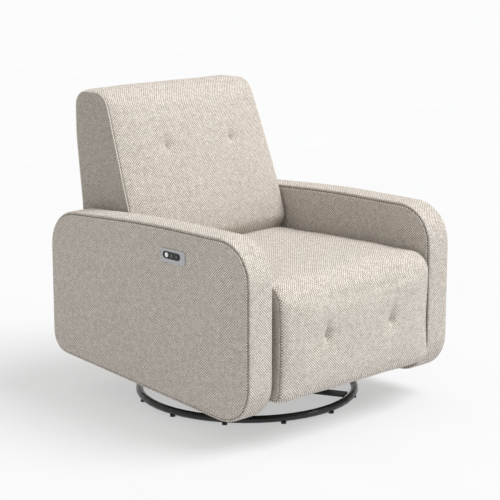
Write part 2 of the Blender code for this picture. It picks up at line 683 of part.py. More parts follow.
def build_footrest(body, fabric, wood, steel):
    """Footrest pad, its board and the two brackets that carry it."""
    profile = rounded([(FOOTREST_FRONT, FOOTREST_BOTTOM, 0.030),
                       (FOOTREST_BACK, FOOTREST_BOTTOM, 0.010),
                       (FOOTREST_BACK, FOOTREST_TOP, 0.012),
                       (FOOTREST_FRONT, FOOTREST_TOP, 0.055)], steps=5)
    pad = make_plate("footrest_pad", profile, (-SOFT_HALF_WIDTH, SOFT_HALF_WIDTH), 1.0, fabric,
                     body)
    notches = [(add_box, ((side_low, -0.48, 0.375), (side_high, -0.33, 0.52)))
               for side_low, side_high in ((-0.35, -NARROW_HALF_WIDTH), (NARROW_HALF_WIDTH, 0.35))]
    modify(pad, "DIFFERENCE", make_tool("footrest_pad_notches", notches, body))
    make_boxes("footrest_board", [((-NARROW_HALF_WIDTH, FOOTREST_BACK + GAP, 0.140),
                                   (NARROW_HALF_WIDTH, -0.3510, 0.420))], wood, body)

    hinge_y, hinge_z = FOOTREST_AXIS
    link_pin = shifted(FOOTREST_AXIS, CRANK_REACH)
    outline = [(-0.3330, link_pin[1] - 0.012), (-0.3330, hinge_z + 0.006),
               (hinge_y + 0.003, hinge_z + EYE_RADIUS)]
    for step in range(1, ARC_STEPS):
        angle = math.pi / 2.0 + math.pi * step / ARC_STEPS
        outline.append((hinge_y + EYE_RADIUS * math.cos(angle),
                        hinge_z + EYE_RADIUS * math.sin(angle)))
    outline += [(hinge_y + 0.003, hinge_z - EYE_RADIUS), (-0.3505, hinge_z - 0.028),
                (-0.3505, link_pin[1] - 0.012)]
    for name, side in SIDES.items():
        pins = [(*FOOTREST_AXIS, PIN_RADIUS, FOOTREST_BRACKET[0] + 0.002, SIDE_PLATE[1] + 0.002),
                (*link_pin, SMALL_PIN_RADIUS, PUSH_LINK[0] - 0.001, FOOTREST_BRACKET[0] + 0.002)]
        make_plate(f"footrest_bracket_{name}", outline, FOOTREST_BRACKET, side, steel, body,
                   pins=pins)


def build_crank(body, steel):
    """Torque tube with two side cranks and the motor's crank, all one weldment."""
    tube_end = SIDE_PLATE[1] - 0.0005
    bm = bmesh.new()
    add_prism_x(bm, circle(CRANK_AXIS, TORQUE_TUBE_RADIUS), -tube_end, tube_end)
    tube = link_object("torque_tube", mesh_from(bm, "torque_tube"), steel, body)
    tip = shifted(CRANK_AXIS, CRANK_REACH)
    for name, side in SIDES.items():
        shapes = [(add_prism_x, (link_outline(CRANK_AXIS, tip, 0.0130),
                                 side * CRANK_ARM[0], side * CRANK_ARM[1]))]
        modify(tube, "UNION", make_tool(f"crank_{name}", shapes, body))
        shapes = [(add_prism_x, (circle(tip, SMALL_PIN_RADIUS), side * (CRANK_ARM[0] + 0.002),
                                 side * (PUSH_LINK[1] + 0.0003)))]
        modify(tube, "UNION", make_tool(f"crank_pin_{name}", shapes, body))
    half_travel = FOOTREST_TRAVEL / 2.0
    motor_tip = (CRANK_AXIS[0] + MOTOR_CRANK_LENGTH * math.sin(half_travel),
                 CRANK_AXIS[1] - MOTOR_CRANK_LENGTH * math.cos(half_travel))
    plate = [(add_prism_x, (link_outline(CRANK_AXIS, motor_tip, 0.0090), -0.004, 0.004))]
    modify(tube, "UNION", make_tool("motor_crank", plate, body))
    pin = [(add_prism_x, (circle(motor_tip, SMALL_PIN_RADIUS), -0.014, 0.014))]
    modify(tube, "UNION", make_tool("motor_crank_pin", pin, body))
    return motor_tip


def build_push_links(body, zinc):
    """Links from the side cranks to the footrest brackets."""
    rear = shifted(CRANK_AXIS, CRANK_REACH)
    front = shifted(FOOTREST_AXIS, CRANK_REACH)
    for name, side in SIDES.items():
        make_plate(f"push_link_{name}", link_outline(rear, front, 0.0085), PUSH_LINK, side, zinc,
                   body, holes=[(*rear, SMALL_PIN_RADIUS + GAP), (*front, SMALL_PIN_RADIUS + 0.001)])


def build_drive_block(body, motor_tip, plastic):
    """The motor's sliding block, a fork around the pin of the motor's crank."""
    low = DRIVE_RAIL_TOP + GAP
    root = DRIVE_BLOCK_FLOOR - 0.004
    y = motor_tip[0]
    half_width, half_length = DRIVE_BLOCK_HALF
    cheek = (0.0065, half_width)
    boxes = [((-half_width, y - half_length, low), (half_width, y + half_length, DRIVE_BLOCK_FLOOR))]
    for side_low, side_high in ((-half_width, -cheek[0]), cheek):
        boxes.append(((side_low, y - half_length, root), (side_high, y - DRIVE_SLOT_HALF, DRIVE_BLOCK_TOP)))
        boxes.append(((side_low, y + DRIVE_SLOT_HALF, root), (side_high, y + half_length, DRIVE_BLOCK_TOP)))
    make_boxes("drive_block", boxes, plastic, body)


# ---------------------------------------------------------------------- main

def build():
    clear_scene()
    fabric = make_material("upholstery", (0.66, 0.61, 0.55), 0.0, 0.92)
    steel = make_material("black_steel", (0.02, 0.02, 0.022), 0.3, 0.45)
    zinc = make_material("zinc_steel", (0.55, 0.56, 0.57), 0.9, 0.35)
    spring_steel = make_material("spring_steel", (0.12, 0.12, 0.13), 0.6, 0.40)
    wood = make_material("hardwood", (0.62, 0.45, 0.28), 0.0, 0.60)
    nylon = make_material("black_nylon", (0.03, 0.03, 0.03), 0.0, 0.55)
    brushed = make_material("brushed_panel", (0.62, 0.62, 0.62), 1.0, 0.32)
    black = make_material("switch_black", (0.015, 0.015, 0.016), 0.0, 0.35)
    silver = make_material("silver_button", (0.72, 0.72, 0.72), 0.9, 0.30)

    base = make_body("base", (0.0, SWIVEL_Y, 0.0))
    bearing_top = build_base(base, steel, nylon, zinc)
    carriage = make_body("swivel_carriage", (0.0, SWIVEL_Y, bearing_top), base)
    build_carriage(carriage, steel, bearing_top)
    front_links = make_body("front_links", (0.0, *GLIDE_FRONT_TOP), carriage)
    build_glide_links(front_links, "front", GLIDE_FRONT_TOP, zinc)
    rear_links = make_body("rear_links", (0.0, *GLIDE_REAR_TOP), carriage)
    build_glide_links(rear_links, "rear", GLIDE_REAR_TOP, zinc)

    seat = make_body("seat_frame", (0.0, *below(GLIDE_FRONT_TOP, LINK_LENGTH)), front_links)
    build_seat_structure(seat, steel, zinc, wood, spring_steel)
    build_drive(seat, black, zinc)
    build_arms(seat, fabric, wood)
    build_control_panel(seat, brushed, black)
    build_rear_valance(seat, fabric, black)
    build_seat_cushion(seat, fabric)

    for name, material in (("return_button", silver), ("recline_button", black)):
        place = (-HALF_WIDTH, BUTTON_YS[name], PILL_CENTRE[1])
        build_button(name, make_body(name + "_slide", place, seat), material)

    back = make_body("back", (0.0, *RECLINE_AXIS), seat)
    build_back(back, fabric, wood, steel)
    footrest = make_body("footrest", (0.0, *FOOTREST_AXIS), seat)
    build_footrest(footrest, fabric, wood, steel)
    crank = make_body("drive_crank", (0.0, *CRANK_AXIS), seat)
    motor_tip = build_crank(crank, steel)
    links = make_body("push_links", (0.0, *shifted(CRANK_AXIS, CRANK_REACH)), crank)
    build_push_links(links, zinc)
    block = make_body("drive_slide", (0.0, motor_tip[0], DRIVE_RAIL_TOP), seat)
    build_drive_block(block, motor_tip, black)


build()
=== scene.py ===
import json
import math

import bmesh
import bpy
import numpy as np
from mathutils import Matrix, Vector, noise
from mathutils.kdtree import KDTree


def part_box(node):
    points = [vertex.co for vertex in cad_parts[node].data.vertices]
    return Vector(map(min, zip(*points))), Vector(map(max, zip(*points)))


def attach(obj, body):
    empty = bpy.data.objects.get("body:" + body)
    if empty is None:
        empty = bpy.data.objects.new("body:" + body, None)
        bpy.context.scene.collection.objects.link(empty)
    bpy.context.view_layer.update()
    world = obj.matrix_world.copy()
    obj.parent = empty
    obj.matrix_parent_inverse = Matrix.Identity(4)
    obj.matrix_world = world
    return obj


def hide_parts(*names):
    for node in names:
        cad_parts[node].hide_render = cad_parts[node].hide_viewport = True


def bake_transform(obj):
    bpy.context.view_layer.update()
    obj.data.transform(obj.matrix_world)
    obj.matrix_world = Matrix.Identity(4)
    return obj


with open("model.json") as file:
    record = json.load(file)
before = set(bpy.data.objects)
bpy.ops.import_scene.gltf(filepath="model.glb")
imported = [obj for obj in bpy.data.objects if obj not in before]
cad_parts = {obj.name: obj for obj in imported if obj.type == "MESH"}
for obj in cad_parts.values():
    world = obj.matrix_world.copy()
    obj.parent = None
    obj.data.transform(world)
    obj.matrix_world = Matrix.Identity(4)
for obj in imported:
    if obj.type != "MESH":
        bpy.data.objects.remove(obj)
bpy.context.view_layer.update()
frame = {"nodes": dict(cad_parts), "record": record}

# ------------------------------------------------------------------ dimensions
# All in metres, in the shared frame: the chair faces -Y and +Z is up.

# Arms: the outline of each slab, seen from the side, as in the CAD
ARM_OUTER = 0.430
ARM_INNER = 0.328
ARM_FRONT = -0.424
ARM_REAR = 0.464
ARM_TOP_FRONT = 0.607
ARM_TOP_REAR = 0.582
ARM_TOP_CROWN = 0.0090
ARM_TOP_POINTS = 160
ARM_BOTTOM_AT_ZERO = 0.100
ARM_BOTTOM_SLOPE = 0.075
ARM_RADII = {"front_bottom": 0.115, "rear_bottom": 0.062, "rear_top": 0.115, "front_top": 0.118}
# How far the padding stands out of each panel, and the seams between them
ARM_FACE_CROWN = 0.0050
ARM_INNER_CROWN = 0.0030
ARM_BAND_RISE = 0.0070
ARM_BAND_CROWN = 0.0025
ARM_SEAM_INSET = 0.0065
ARM_SEAM_DEPTH = 0.0060
ARM_EDGE_RADIUS = 0.0105
ARM_STITCH_LIFT = 0.0022

# Control panel, as in the CAD: centre and size as (Y, Z), and the cloth that lies flat round it
PANEL_CENTRE = (-0.118, 0.5245)
PANEL_SIZE = (0.103, 0.040)
PANEL_FLAT_MARGIN = 0.03
PANEL_FACE_DEPTH = 0.02

# Back, seat and footrest: half the width between the arms, and the crown of the side panels
SOFT_HALF_WIDTH = 0.3225
SOFT_SIDE_CROWN = 0.0042
SOFT_SEAM_DEPTH = 0.003
SOFT_STITCH_LIFT = 0.0010

# Back: its outline from the side, as (Y, Z, corner radius), running round from the lower front
BACK_CORNERS = [
    (0.214, 0.352, 0.0), (0.421, 0.352, 0.010), (0.435, 0.600, 0.50), (0.461, 0.800, 0.50),
    (0.463, 0.935, 0.046), (0.324, 0.938, 0.058), (0.183, 0.499, 0.022), (0.208, 0.452, 0.020),
]
BACK_FRONT_RISE = 0.009
BACK_TOP_RISE = 0.006
BACK_REAR_RISE = 0.005
BACK_EDGE_RADIUS = 0.045
BACK_FRONT_CROWN = 0.011
BACK_REAR_CROWN = 0.005
BACK_FACING = (0.0, -0.95, 0.30)
FRONT_NORMAL_Y = -0.3
SIDE_PANEL_FACING = 0.75
# The swell of its front, between two heights and fading over a length at each
BACK_SWELL = 0.028
BACK_SWELL_POWER = 2.4
BACK_SWELL_BOTTOM = 0.46
BACK_SWELL_BOTTOM_FADE = 0.13
BACK_SWELL_TOP = 0.945
BACK_SWELL_TOP_FADE = 0.16
# How much narrower it gets, and how far it leans back, between two heights
BACK_TAPER = 0.046
BACK_LEAN = 0.015
BACK_TAPER_FROM = 0.60
BACK_TAPER_TO = 0.91
BACK_TAPER_LIMIT = 1.15
BACK_TAPER_POWER = 1.3

# Seat and footrest pad: one outline from the side, running round from the lower rear
SEAT_CORNERS = [
    (0.203, 0.342, 0.012), (0.203, 0.446, 0.020), (-0.390, 0.461, 0.042), (-0.431, 0.441, 0.045),
    (-0.431, 0.137, 0.022), (-0.3655, 0.139, 0.012), (-0.3655, 0.424, 0.008), (-0.332, 0.424, 0.008),
    (-0.332, 0.342, 0.008),
]
SEAT_BAND_RISE = 0.015
SEAT_BAND_CROWN = 0.012
SEAT_EDGE_RADIUS = 0.028
SEAT_UNDERSIDE_FROM = 0.3
HIDDEN_FACING = 0.5
PAD_BOTTOM_RISE = 0.011
PAD_FACING = (0.0, -1.0, 0.0)
# The pad's sides draw in by this much between two heights, at its front and near its edges
PAD_WAIST = 0.0075
PAD_WAIST_BOTTOM = 0.13
PAD_WAIST_TOP = 0.45
PAD_WAIST_POWER = 1.2
PAD_WAIST_FRONT = -0.33
PAD_WAIST_FRONT_FADE = 0.07
PAD_WAIST_EDGE = 0.22
PAD_WAIST_EDGE_FADE = 0.10

# Tufts, as (X, Z): a dimple, with a fold that runs up and down through it
BACK_TUFTS = [(-0.135, 0.771), (0.135, 0.771)]
BACK_TUFT_SHAPE = {
    "depth": 0.0110, "spread": 0.020, "fold_depth": 0.0040, "fold_up": 0.036, "fold_down": 0.018,
}
FOOTREST_TUFTS = [(-0.136, 0.300), (0.136, 0.300)]
FOOTREST_TUFT_SHAPE = {
    "depth": 0.0120, "spread": 0.019, "fold_depth": 0.0090, "fold_up": 0.052, "fold_down": 0.022,
}
FACING_AT_TUFT = 0.5
FACING_AT_DIMPLE = 0.3
DIMPLE_POWER = 1.25
FOLD_HALF_WIDTH = 0.0095
FOLD_LEAN = 0.12

# Rear valance
VALANCE_RADIUS = 0.006
VALANCE_FRONT_INSET = 0.002
VALANCE_REAR_INSET = 0.003
VALANCE_SIDE_INSET = 0.002
VALANCE_CROWN = 0.002

# Cloth: the mesh's steps across a panel, in from its edges, and out from a tuft
ARC_STEPS = 12
MESH_STEP = 0.0085
EDGE_STEPS = (0.0030, 0.0054, 0.0100, 0.0165)
FOCUS_STEPS = (0.0, 0.0026, 0.0054, 0.0086, 0.0124, 0.0170)
FOCUS_GAP = 0.4
CLOTH_QUALITY = 5
CLOTH_PRESSURE = 4.0
CLOTH_FRAMES = 20
SMOOTHING_ROUNDS = 20
RISE_SMOOTHING_ROUNDS = 4
BACK_UNEVEN = 0.0018
BACK_UNEVEN_SEED = 11.2
SEAT_UNEVEN = 0.0036
SEAT_UNEVEN_SEED = 3.7
UNEVEN_WAVELENGTH = 0.11

# Fabric: its yarns' light and dark colours, the gap colour that paints shade in the hollows between them,
# and how much each thing adds to a yarn's tone
WEAVE_PITCH = 0.0020
YARN_WANDER = 0.0030
YARNS = ((0.97, 0.915, 0.845), (0.315, 0.275, 0.235), (0.12, 0.10, 0.08))
# Painted shade: the back's side panels take a copy of the fabric with every colour scaled by this
SIDE_PANEL_PAINTED_SHADE = 0.80
CHANCE_TONE = 0.46
WARP_TONE = 0.76
TONE_SHIFT = -0.10

# What each vertex of a boxed cushion belongs to: its seams, a side panel, or the band between
SEAM, LOW_PANEL, HIGH_PANEL, BAND = range(4)

# Sewing: a stitch is a stack of rings, each as (place along it, width)
STITCH_PITCH = 0.0048
STITCH_LENGTH = 0.0034
STITCH_RADIUS = 0.0011
STITCH_RINGS = ((-0.34, 0.80), (0.0, 1.0), (0.34, 0.80))
STITCH_SIDES = 6
NO_SEAM_DIRECTION = (0.31, 0.52, 0.79)
TUFT_STITCH_LENGTH = 0.0075
TUFT_STITCH_RADIUS = 0.0013
TUFT_STITCH_LIFT = 0.0006
WELT_RADIUS = 0.0019
WELT_LAY = 0.009
WELT_LIFT = 0.0024
WELT_SIDES = 8
WELT_STEP = 0.0018
WELT_LOBE = 0.16

# Switch details
DIVIDER_WIDTH = 0.0009
DIVIDER_HEIGHT = 0.0095
DIVIDER_STAND = 0.00030
MARK_HEIGHT = 0.0038
DETAIL_BEVEL = 0.0001

# Camera and studio
CAMERA_AZIMUTH = math.radians(-43.8)
CAMERA_ELEVATION = math.radians(12.5)
CAMERA_DISTANCE = 5.0
CAMERA_TARGET = Vector((-0.063, -0.051, 0.477))
CAMERA_LENS = 118.8
CAMERA_SENSOR = 36.0
KEY_DIRECTION = (-0.50, 0.56, -1.04)
KEY_STRENGTH = 3.0
KEY_SPREAD = math.radians(40.0)
WORLD_COLOUR = (1.0, 0.975, 0.945, 1)
WORLD_STRENGTH = 0.66
FLOOR_REACH = 40.0
FLOOR_GLOW = 0.485

# ------------------------------------------------------------- outline helpers


def corner_arc(before, corner, after, radius):
    """Points of the arc that rounds a corner; a corner of no radius is one point."""
    corner, before, after = (np.array(p, float) for p in (corner, before, after))
    if radius <= 0:
        return [corner]
    to_before = (before - corner) / np.linalg.norm(before - corner)
    to_after = (after - corner) / np.linalg.norm(after - corner)
    half_angle = math.acos(np.clip(to_before @ to_after, -1, 1)) / 2
    reach = radius / math.tan(half_angle)
    bisector = to_before + to_after
    bisector /= np.linalg.norm(bisector)
    centre = corner + bisector * radius / math.sin(half_angle)
    start = corner + to_before * reach - centre
    end = corner + to_after * reach - centre
    turn = math.atan2(start[0] * end[1] - start[1] * end[0], start @ end)
    points = []
    for i in range(ARC_STEPS + 1):
        c, s = math.cos(turn * i / ARC_STEPS), math.sin(turn * i / ARC_STEPS)
        points.append(centre + (start[0] * c - start[1] * s, start[0] * s + start[1] * c))
    return points


def rounded(corners):
    """The arcs of a closed outline, one list of points for each (y, z, radius) corner."""
    count = len(corners)
    arcs = []
    for i, (y, z, radius) in enumerate(corners):
        arcs.append(corner_arc(corners[i - 1][:2], (y, z), corners[(i + 1) % count][:2], radius))
    return arcs


def side_of(arcs, start, end):
    """The stretch of an outline from the middle of one corner's arc to the middle of another's."""
    first, last = arcs[start], arcs[end]
    points = list(first[len(first) // 2:])
    i = (start + 1) % len(arcs)
    while i != end:
        points += arcs[i]
        i = (i + 1) % len(arcs)
    points += last[: len(last) // 2 + 1]
    return np.array(points)


def lengths_along(points):
    """Distance of each point from the first, along the line."""
    steps = np.linalg.norm(np.diff(points, axis=0), axis=1)
    return np.concatenate([[0.0], np.cumsum(steps)])


def resample(points, shares):
    """Points at the given shares of a line's length."""
    along = lengths_along(points)
    at = np.array(shares) * along[-1]
    return np.stack([np.interp(at, along, points[:, k]) for k in range(points.shape[1])], axis=1)


def graded(length, focus=()):
    """Shares from 0 to 1 along a length, close together at both ends and round each focus."""
    inner = length - 2 * EDGE_STEPS[-1]
    count = max(2, round(inner / MESH_STEP))
    middle = [EDGE_STEPS[-1] + inner * i / count for i in range(1, count)]
    cleared = FOCUS_STEPS[-1] + FOCUS_GAP * MESH_STEP
    for centre in focus:
        middle = [m for m in middle if abs(m - centre) > cleared]
        middle += [centre + offset for offset in FOCUS_STEPS]
        middle += [centre - offset for offset in FOCUS_STEPS if offset > 0]
    at = [0.0, *EDGE_STEPS, *sorted(middle), *(length - e for e in reversed(EDGE_STEPS)), length]
    return np.array(at) / length


def front_place(line, height, outer):
    """How far along the outer line the mesh line runs that meets the front line at a height."""
    along = lengths_along(line)
    below = line[:, 1] < height
    crossing = np.flatnonzero(below[1:] != below[:-1])
    front_most = min(crossing, key=lambda i: line[i, 0])
    share = along[front_most] / along[-1]
    if line is not outer:
        share = 1 - share
    return share * lengths_along(outer)[-1]


def outward_normals(loop):
    """Unit normals of a closed anticlockwise loop of points in the plane, pointing out."""
    tangent = np.roll(loop, -1, axis=0) - np.roll(loop, 1, axis=0)
    normal = np.stack([tangent[:, 1], -tangent[:, 0]], axis=1)
    return normal / np.maximum(np.linalg.norm(normal, axis=1), 1e-9)[:, None]


# ---------------------------------------------------------------- boxed cushions


def filled_grid(outer_line, inner_line, first_line, last_line, along_outer, along_end):
    """A grid of points that fills the area between an outline's four lines."""
    u, v = along_outer[:, None, None], along_end[None, :, None]
    ruled = (1 - v) * outer_line[:, None] + v * inner_line[:, None]
    ends = (1 - u) * first_line[None] + u * last_line[None]
    corners = (
        (1 - u) * (1 - v) * outer_line[0] + (1 - u) * v * inner_line[0]
        + u * (1 - v) * outer_line[-1] + u * v * inner_line[-1]
    )
    return ruled + ends - corners


def rim_of_grid(columns, rows):
    """The (column, row) places round a grid's edge, in order."""
    loop = [(i, 0) for i in range(columns)]
    loop += [(columns - 1, j) for j in range(1, rows)]
    loop += [(i, rows - 1) for i in range(columns - 2, -1, -1)]
    loop += [(0, j) for j in range(rows - 2, 0, -1)]
    return loop


def link_object(name, data):
    made = bpy.data.objects.new(name, data)
    bpy.context.scene.collection.objects.link(made)
    return made


def boxed_form(name, sides, x_low, x_high, rises=(0, 0, 0, 0), edge_radius=0.02, tufts=()):
    """A closed cushion: two side panels of one outline, joined by a band round it.

    sides are the outline's four lines (low end, outer line, high end, inner line), each as
    (y, z) points, running round it.  rises are how far the band stands out beyond the side
    panels' outline on each of them, reached over edge_radius in from each panel.  tufts are
    (x, z) points on the chair's front face, where the mesh is finer.  It gives the piece, what
    each vertex belongs to, and the vertices along its two seams.
    """
    first, outer, last, inner = sides
    faces_front = outer if outer[:, 0].min() < inner[:, 0].min() else inner
    heights = sorted({z for _, z in tufts})
    line_focus = [front_place(faces_front, z, outer) for z in heights]
    along_outer = graded(lengths_along(outer)[-1], line_focus)
    along_end = graded(lengths_along(first)[-1])
    outer_line = resample(outer, along_outer)
    inner_line = resample(inner[::-1], along_outer)
    first_line = resample(first[::-1], along_end)
    last_line = resample(last, along_end)
    columns, rows = len(along_outer), len(along_end)

    grid = filled_grid(outer_line, inner_line, first_line, last_line, along_outer, along_end)
    loop = rim_of_grid(columns, rows)
    rim = np.array([grid[i, j] for i, j in loop])
    rim_normals = outward_normals(rim)
    if np.sum(rim[:, 0] * np.roll(rim[:, 1], -1) - rim[:, 1] * np.roll(rim[:, 0], -1)) < 0:
        rim_normals = -rim_normals
    first_rise, outer_rise, last_rise, inner_rise = rises
    rise_at = np.concatenate([
        np.full(columns, outer_rise), np.full(rows - 2, last_rise),
        np.full(columns, inner_rise), np.full(rows - 2, first_rise),
    ])
    for _ in range(RISE_SMOOTHING_ROUNDS):
        rise_at = (np.roll(rise_at, 1) + rise_at + np.roll(rise_at, -1)) / 3
    rim_along = np.concatenate([lengths_along(rim), [0]])
    rim_along[-1] = rim_along[-2] + np.linalg.norm(rim[0] - rim[-1])

    xs = x_low + graded(x_high - x_low, [x - x_low for x, _ in tufts]) * (x_high - x_low)
    verts, panels = [], []
    index = {}

    def put(key, x, y, z, panel):
        index[key] = len(verts)
        verts.append((x, y, z))
        panels.append(panel)

    for side, x, panel in (("low", x_low, LOW_PANEL), ("high", x_high, HIGH_PANEL)):
        for i in range(columns):
            for j in range(rows):
                on_rim = i in (0, columns - 1) or j in (0, rows - 1)
                y, z = grid[i, j]
                put((side, i, j), x, y, z, SEAM if on_rim else panel)
    for k, x in enumerate(xs[1:-1], start=1):
        from_edge = min(x - x_low, x_high - x)
        share = min(1.0, from_edge / edge_radius)
        risen = math.sqrt(1 - (1 - share) ** 2)
        for r, (y, z) in enumerate(rim + rim_normals * (rise_at * risen)[:, None]):
            put(("band", k, r), x, y, z, BAND)

    faces, face_uv = [], []

    def corner_at(k, r):
        r = r % len(loop)
        if k == 0:
            return index[("low", *loop[r])]
        if k == len(xs) - 1:
            return index[("high", *loop[r])]
        return index[("band", k, r)]

    for side in ("low", "high"):
        for i in range(columns - 1):
            for j in range(rows - 1):
                quad = [(i, j), (i + 1, j), (i + 1, j + 1), (i, j + 1)]
                faces.append([index[(side, *q)] for q in quad])
                face_uv.append([tuple(grid[q]) for q in quad])
    for k in range(len(xs) - 1):
        for r in range(len(loop)):
            faces.append([
                corner_at(k, r), corner_at(k + 1, r), corner_at(k + 1, r + 1), corner_at(k, r + 1),
            ])
            face_uv.append([
                (xs[k], rim_along[r]), (xs[k + 1], rim_along[r]),
                (xs[k + 1], rim_along[r + 1]), (xs[k], rim_along[r + 1]),
            ])

    mesh = bpy.data.meshes.new(name)
    mesh.from_pydata(verts, [], faces)
    uv = mesh.uv_layers.new(name="weave")
    uv.uv.foreach_set("vector", np.array(face_uv, np.float32).ravel())
    mesh.update()
    bm = bmesh.new()
    bm.from_mesh(mesh)
    bmesh.ops.recalc_face_normals(bm, faces=bm.faces)
    bm.to_mesh(mesh)
    bm.free()
    seam_loops = {side: [index[(side, *place)] for place in loop] for side in ("low", "high")}
    return link_object(name, mesh), np.array(panels), seam_loops


def coordinates(mesh):
    co = np.empty(len(mesh.vertices) * 3, np.float32)
    mesh.vertices.foreach_get("co", co)
    return co.reshape(-1, 3).astype(float)


def set_coordinates(mesh, co):
    mesh.vertices.foreach_set("co", co.astype(np.float32).ravel())
    mesh.update()


def vertex_normals(mesh):
    normals = np.empty(len(mesh.vertices) * 3, np.float32)
    mesh.vertices.foreach_get("normal", normals)
    return normals.reshape(-1, 3).astype(float)


def inflate(piece, pinned, most):
    """Blow the piece up as cloth, held at its pinned vertices, and keep the result within most.

    Only the movement straight out of the piece is kept: a slide along the cloth would pile up in
    a fold, and a move inward would meet the frame.
    """
    mesh = piece.data
    rest = coordinates(mesh)
    rest_normals = vertex_normals(mesh)
    group = piece.vertex_groups.new(name="held")
    group.add([int(i) for i in np.flatnonzero(pinned)], 1.0, "REPLACE")
    cloth = piece.modifiers.new("Cloth", "CLOTH")
    cloth.settings.quality = CLOTH_QUALITY
    cloth.settings.use_pressure = True
    cloth.settings.uniform_pressure_force = CLOTH_PRESSURE
    cloth.settings.effector_weights.gravity = 0
    cloth.settings.vertex_group_mass = "held"
    cloth.point_cache.frame_start = 1
    cloth.point_cache.frame_end = CLOTH_FRAMES
    for step in range(1, CLOTH_FRAMES + 1):
        bpy.context.scene.frame_set(step)
    evaluated = piece.evaluated_get(bpy.context.evaluated_depsgraph_get())
    moved = coordinates(evaluated.data) - rest
    piece.modifiers.remove(cloth)
    piece.vertex_groups.remove(group)
    bpy.context.scene.frame_set(1)
    outward = np.maximum(np.sum(moved * rest_normals, axis=1), 0)
    outward = most * np.tanh(outward / np.maximum(most, 1e-9))
    set_coordinates(mesh, rest + smoothed(mesh, rest_normals * outward[:, None], pinned))


def smoothed(mesh, moved, pinned):
    """Even out the cloth's movement between neighbours, and keep its seams where they are."""
    ends = np.empty(len(mesh.edges) * 2, np.int32)
    mesh.edges.foreach_get("vertices", ends)
    a, b = ends.reshape(-1, 2).T
    count = np.bincount(ends, minlength=len(moved))
    for _ in range(SMOOTHING_ROUNDS):
        total = np.zeros_like(moved)
        np.add.at(total, a, moved[b])
        np.add.at(total, b, moved[a])
        mean = total / count[:, None]
        moved = np.where(pinned[:, None], moved, 0.5 * (moved + mean))
    return moved


def finish_cloth(piece):
    """One subdivision, smooth shading and the fabric."""
    subdivision = piece.modifiers.new("Subdivision", "SUBSURF")
    subdivision.levels = 1
    subdivision.render_levels = 1
    subdivision.boundary_smooth = "PRESERVE_CORNERS"
    apply_modifiers(piece)
    piece.data.materials.clear()
    piece.data.materials.append(MATERIALS["upholstery"])
    piece.data.polygons.foreach_set("use_smooth", [True] * len(piece.data.polygons))


def apply_modifiers(piece):
    """Give the piece the mesh that its modifiers make."""
    evaluated = piece.evaluated_get(bpy.context.evaluated_depsgraph_get())
    final = bpy.data.meshes.new_from_object(evaluated)
    final.name = piece.name
    piece.modifiers.clear()
    old = piece.data
    piece.data = final
    bpy.data.meshes.remove(old)


def mark_seams(mesh, *loops):
    """Crease the seam lines, so that subdivision keeps them narrow."""
    pairs = set()
    for loop in loops:
        for a, b in zip(loop, loop[1:] + loop[:1]):
            pairs.add((min(a, b), max(a, b)))
    crease = mesh.attributes.new("crease_edge", "FLOAT", "EDGE")
    for edge in mesh.edges:
        key = tuple(sorted(edge.vertices))
        if key in pairs:
            crease.data[edge.index].value = 1.0


def tufted(mesh, tufts, facing, depth, spread, fold_depth, fold_up, fold_down):
    """Pull the surface in at each tuft, with a fold that runs up and down from it."""
    co = coordinates(mesh)
    normals = vertex_normals(mesh)
    near = normals @ np.array(facing) > FACING_AT_TUFT
    for x, z in tufts:
        dx, dz = co[:, 0] - x, co[:, 2] - z
        r = np.hypot(dx, dz)
        dimple = depth * np.exp(-((r / spread) ** DIMPLE_POWER))
        reach = np.where(dz > 0, fold_up, fold_down)
        lean = FOLD_LEAN * dz * math.copysign(1, x)
        fold = fold_depth * np.exp(-(((dx - lean) / FOLD_HALF_WIDTH) ** 2) - (dz / reach) ** 2)
        co -= normals * np.where(near, dimple + fold, 0.0)[:, None]
    set_coordinates(mesh, co)


def uneven(mesh, panels, amount, seed):
    """Broad, shallow hollows and swells in the padding, away from the seams."""
    co = coordinates(mesh)
    normals = vertex_normals(mesh)
    start = Vector((seed, 0, 0))
    swell = np.array([noise.noise(Vector(p) / UNEVEN_WAVELENGTH + start) for p in co])
    co += normals * (np.where(panels != SEAM, amount, 0.0) * swell)[:, None]
    set_coordinates(mesh, co)


def sink_seams(mesh, loops, depth):
    """Push the seam lines in, so that the panels meet in a narrow groove."""
    co = coordinates(mesh)
    normals = vertex_normals(mesh)
    for loop in loops:
        co[loop] -= normals[loop] * depth
    set_coordinates(mesh, co)


# ----------------------------------------------------------------------- sewing


def mesh_piece(name, verts, faces, material):
    """A smooth-shaded object from points and faces."""
    mesh = bpy.data.meshes.new(name)
    mesh.from_pydata([tuple(v) for v in verts], [], faces)
    mesh.update()
    mesh.materials.append(material)
    mesh.polygons.foreach_set("use_smooth", [True] * len(mesh.polygons))
    return link_object(name, mesh)


def seam_line(piece, loop, lift):
    """A closed seam's points on the finished piece, lifted out of its groove."""
    co = coordinates(piece.data)
    normals = vertex_normals(piece.data)
    return co[loop] + normals[loop] * lift


def closed_resample(points, pitch):
    """Evenly spaced points round a closed line, and the direction at each."""
    ring = np.vstack([points, points[:1]])
    count = round(lengths_along(ring)[-1] / pitch)
    at = resample(ring, np.arange(count) / count)
    tangent = np.roll(at, -1, axis=0) - np.roll(at, 1, axis=0)
    return at, tangent / np.linalg.norm(tangent, axis=1)[:, None]


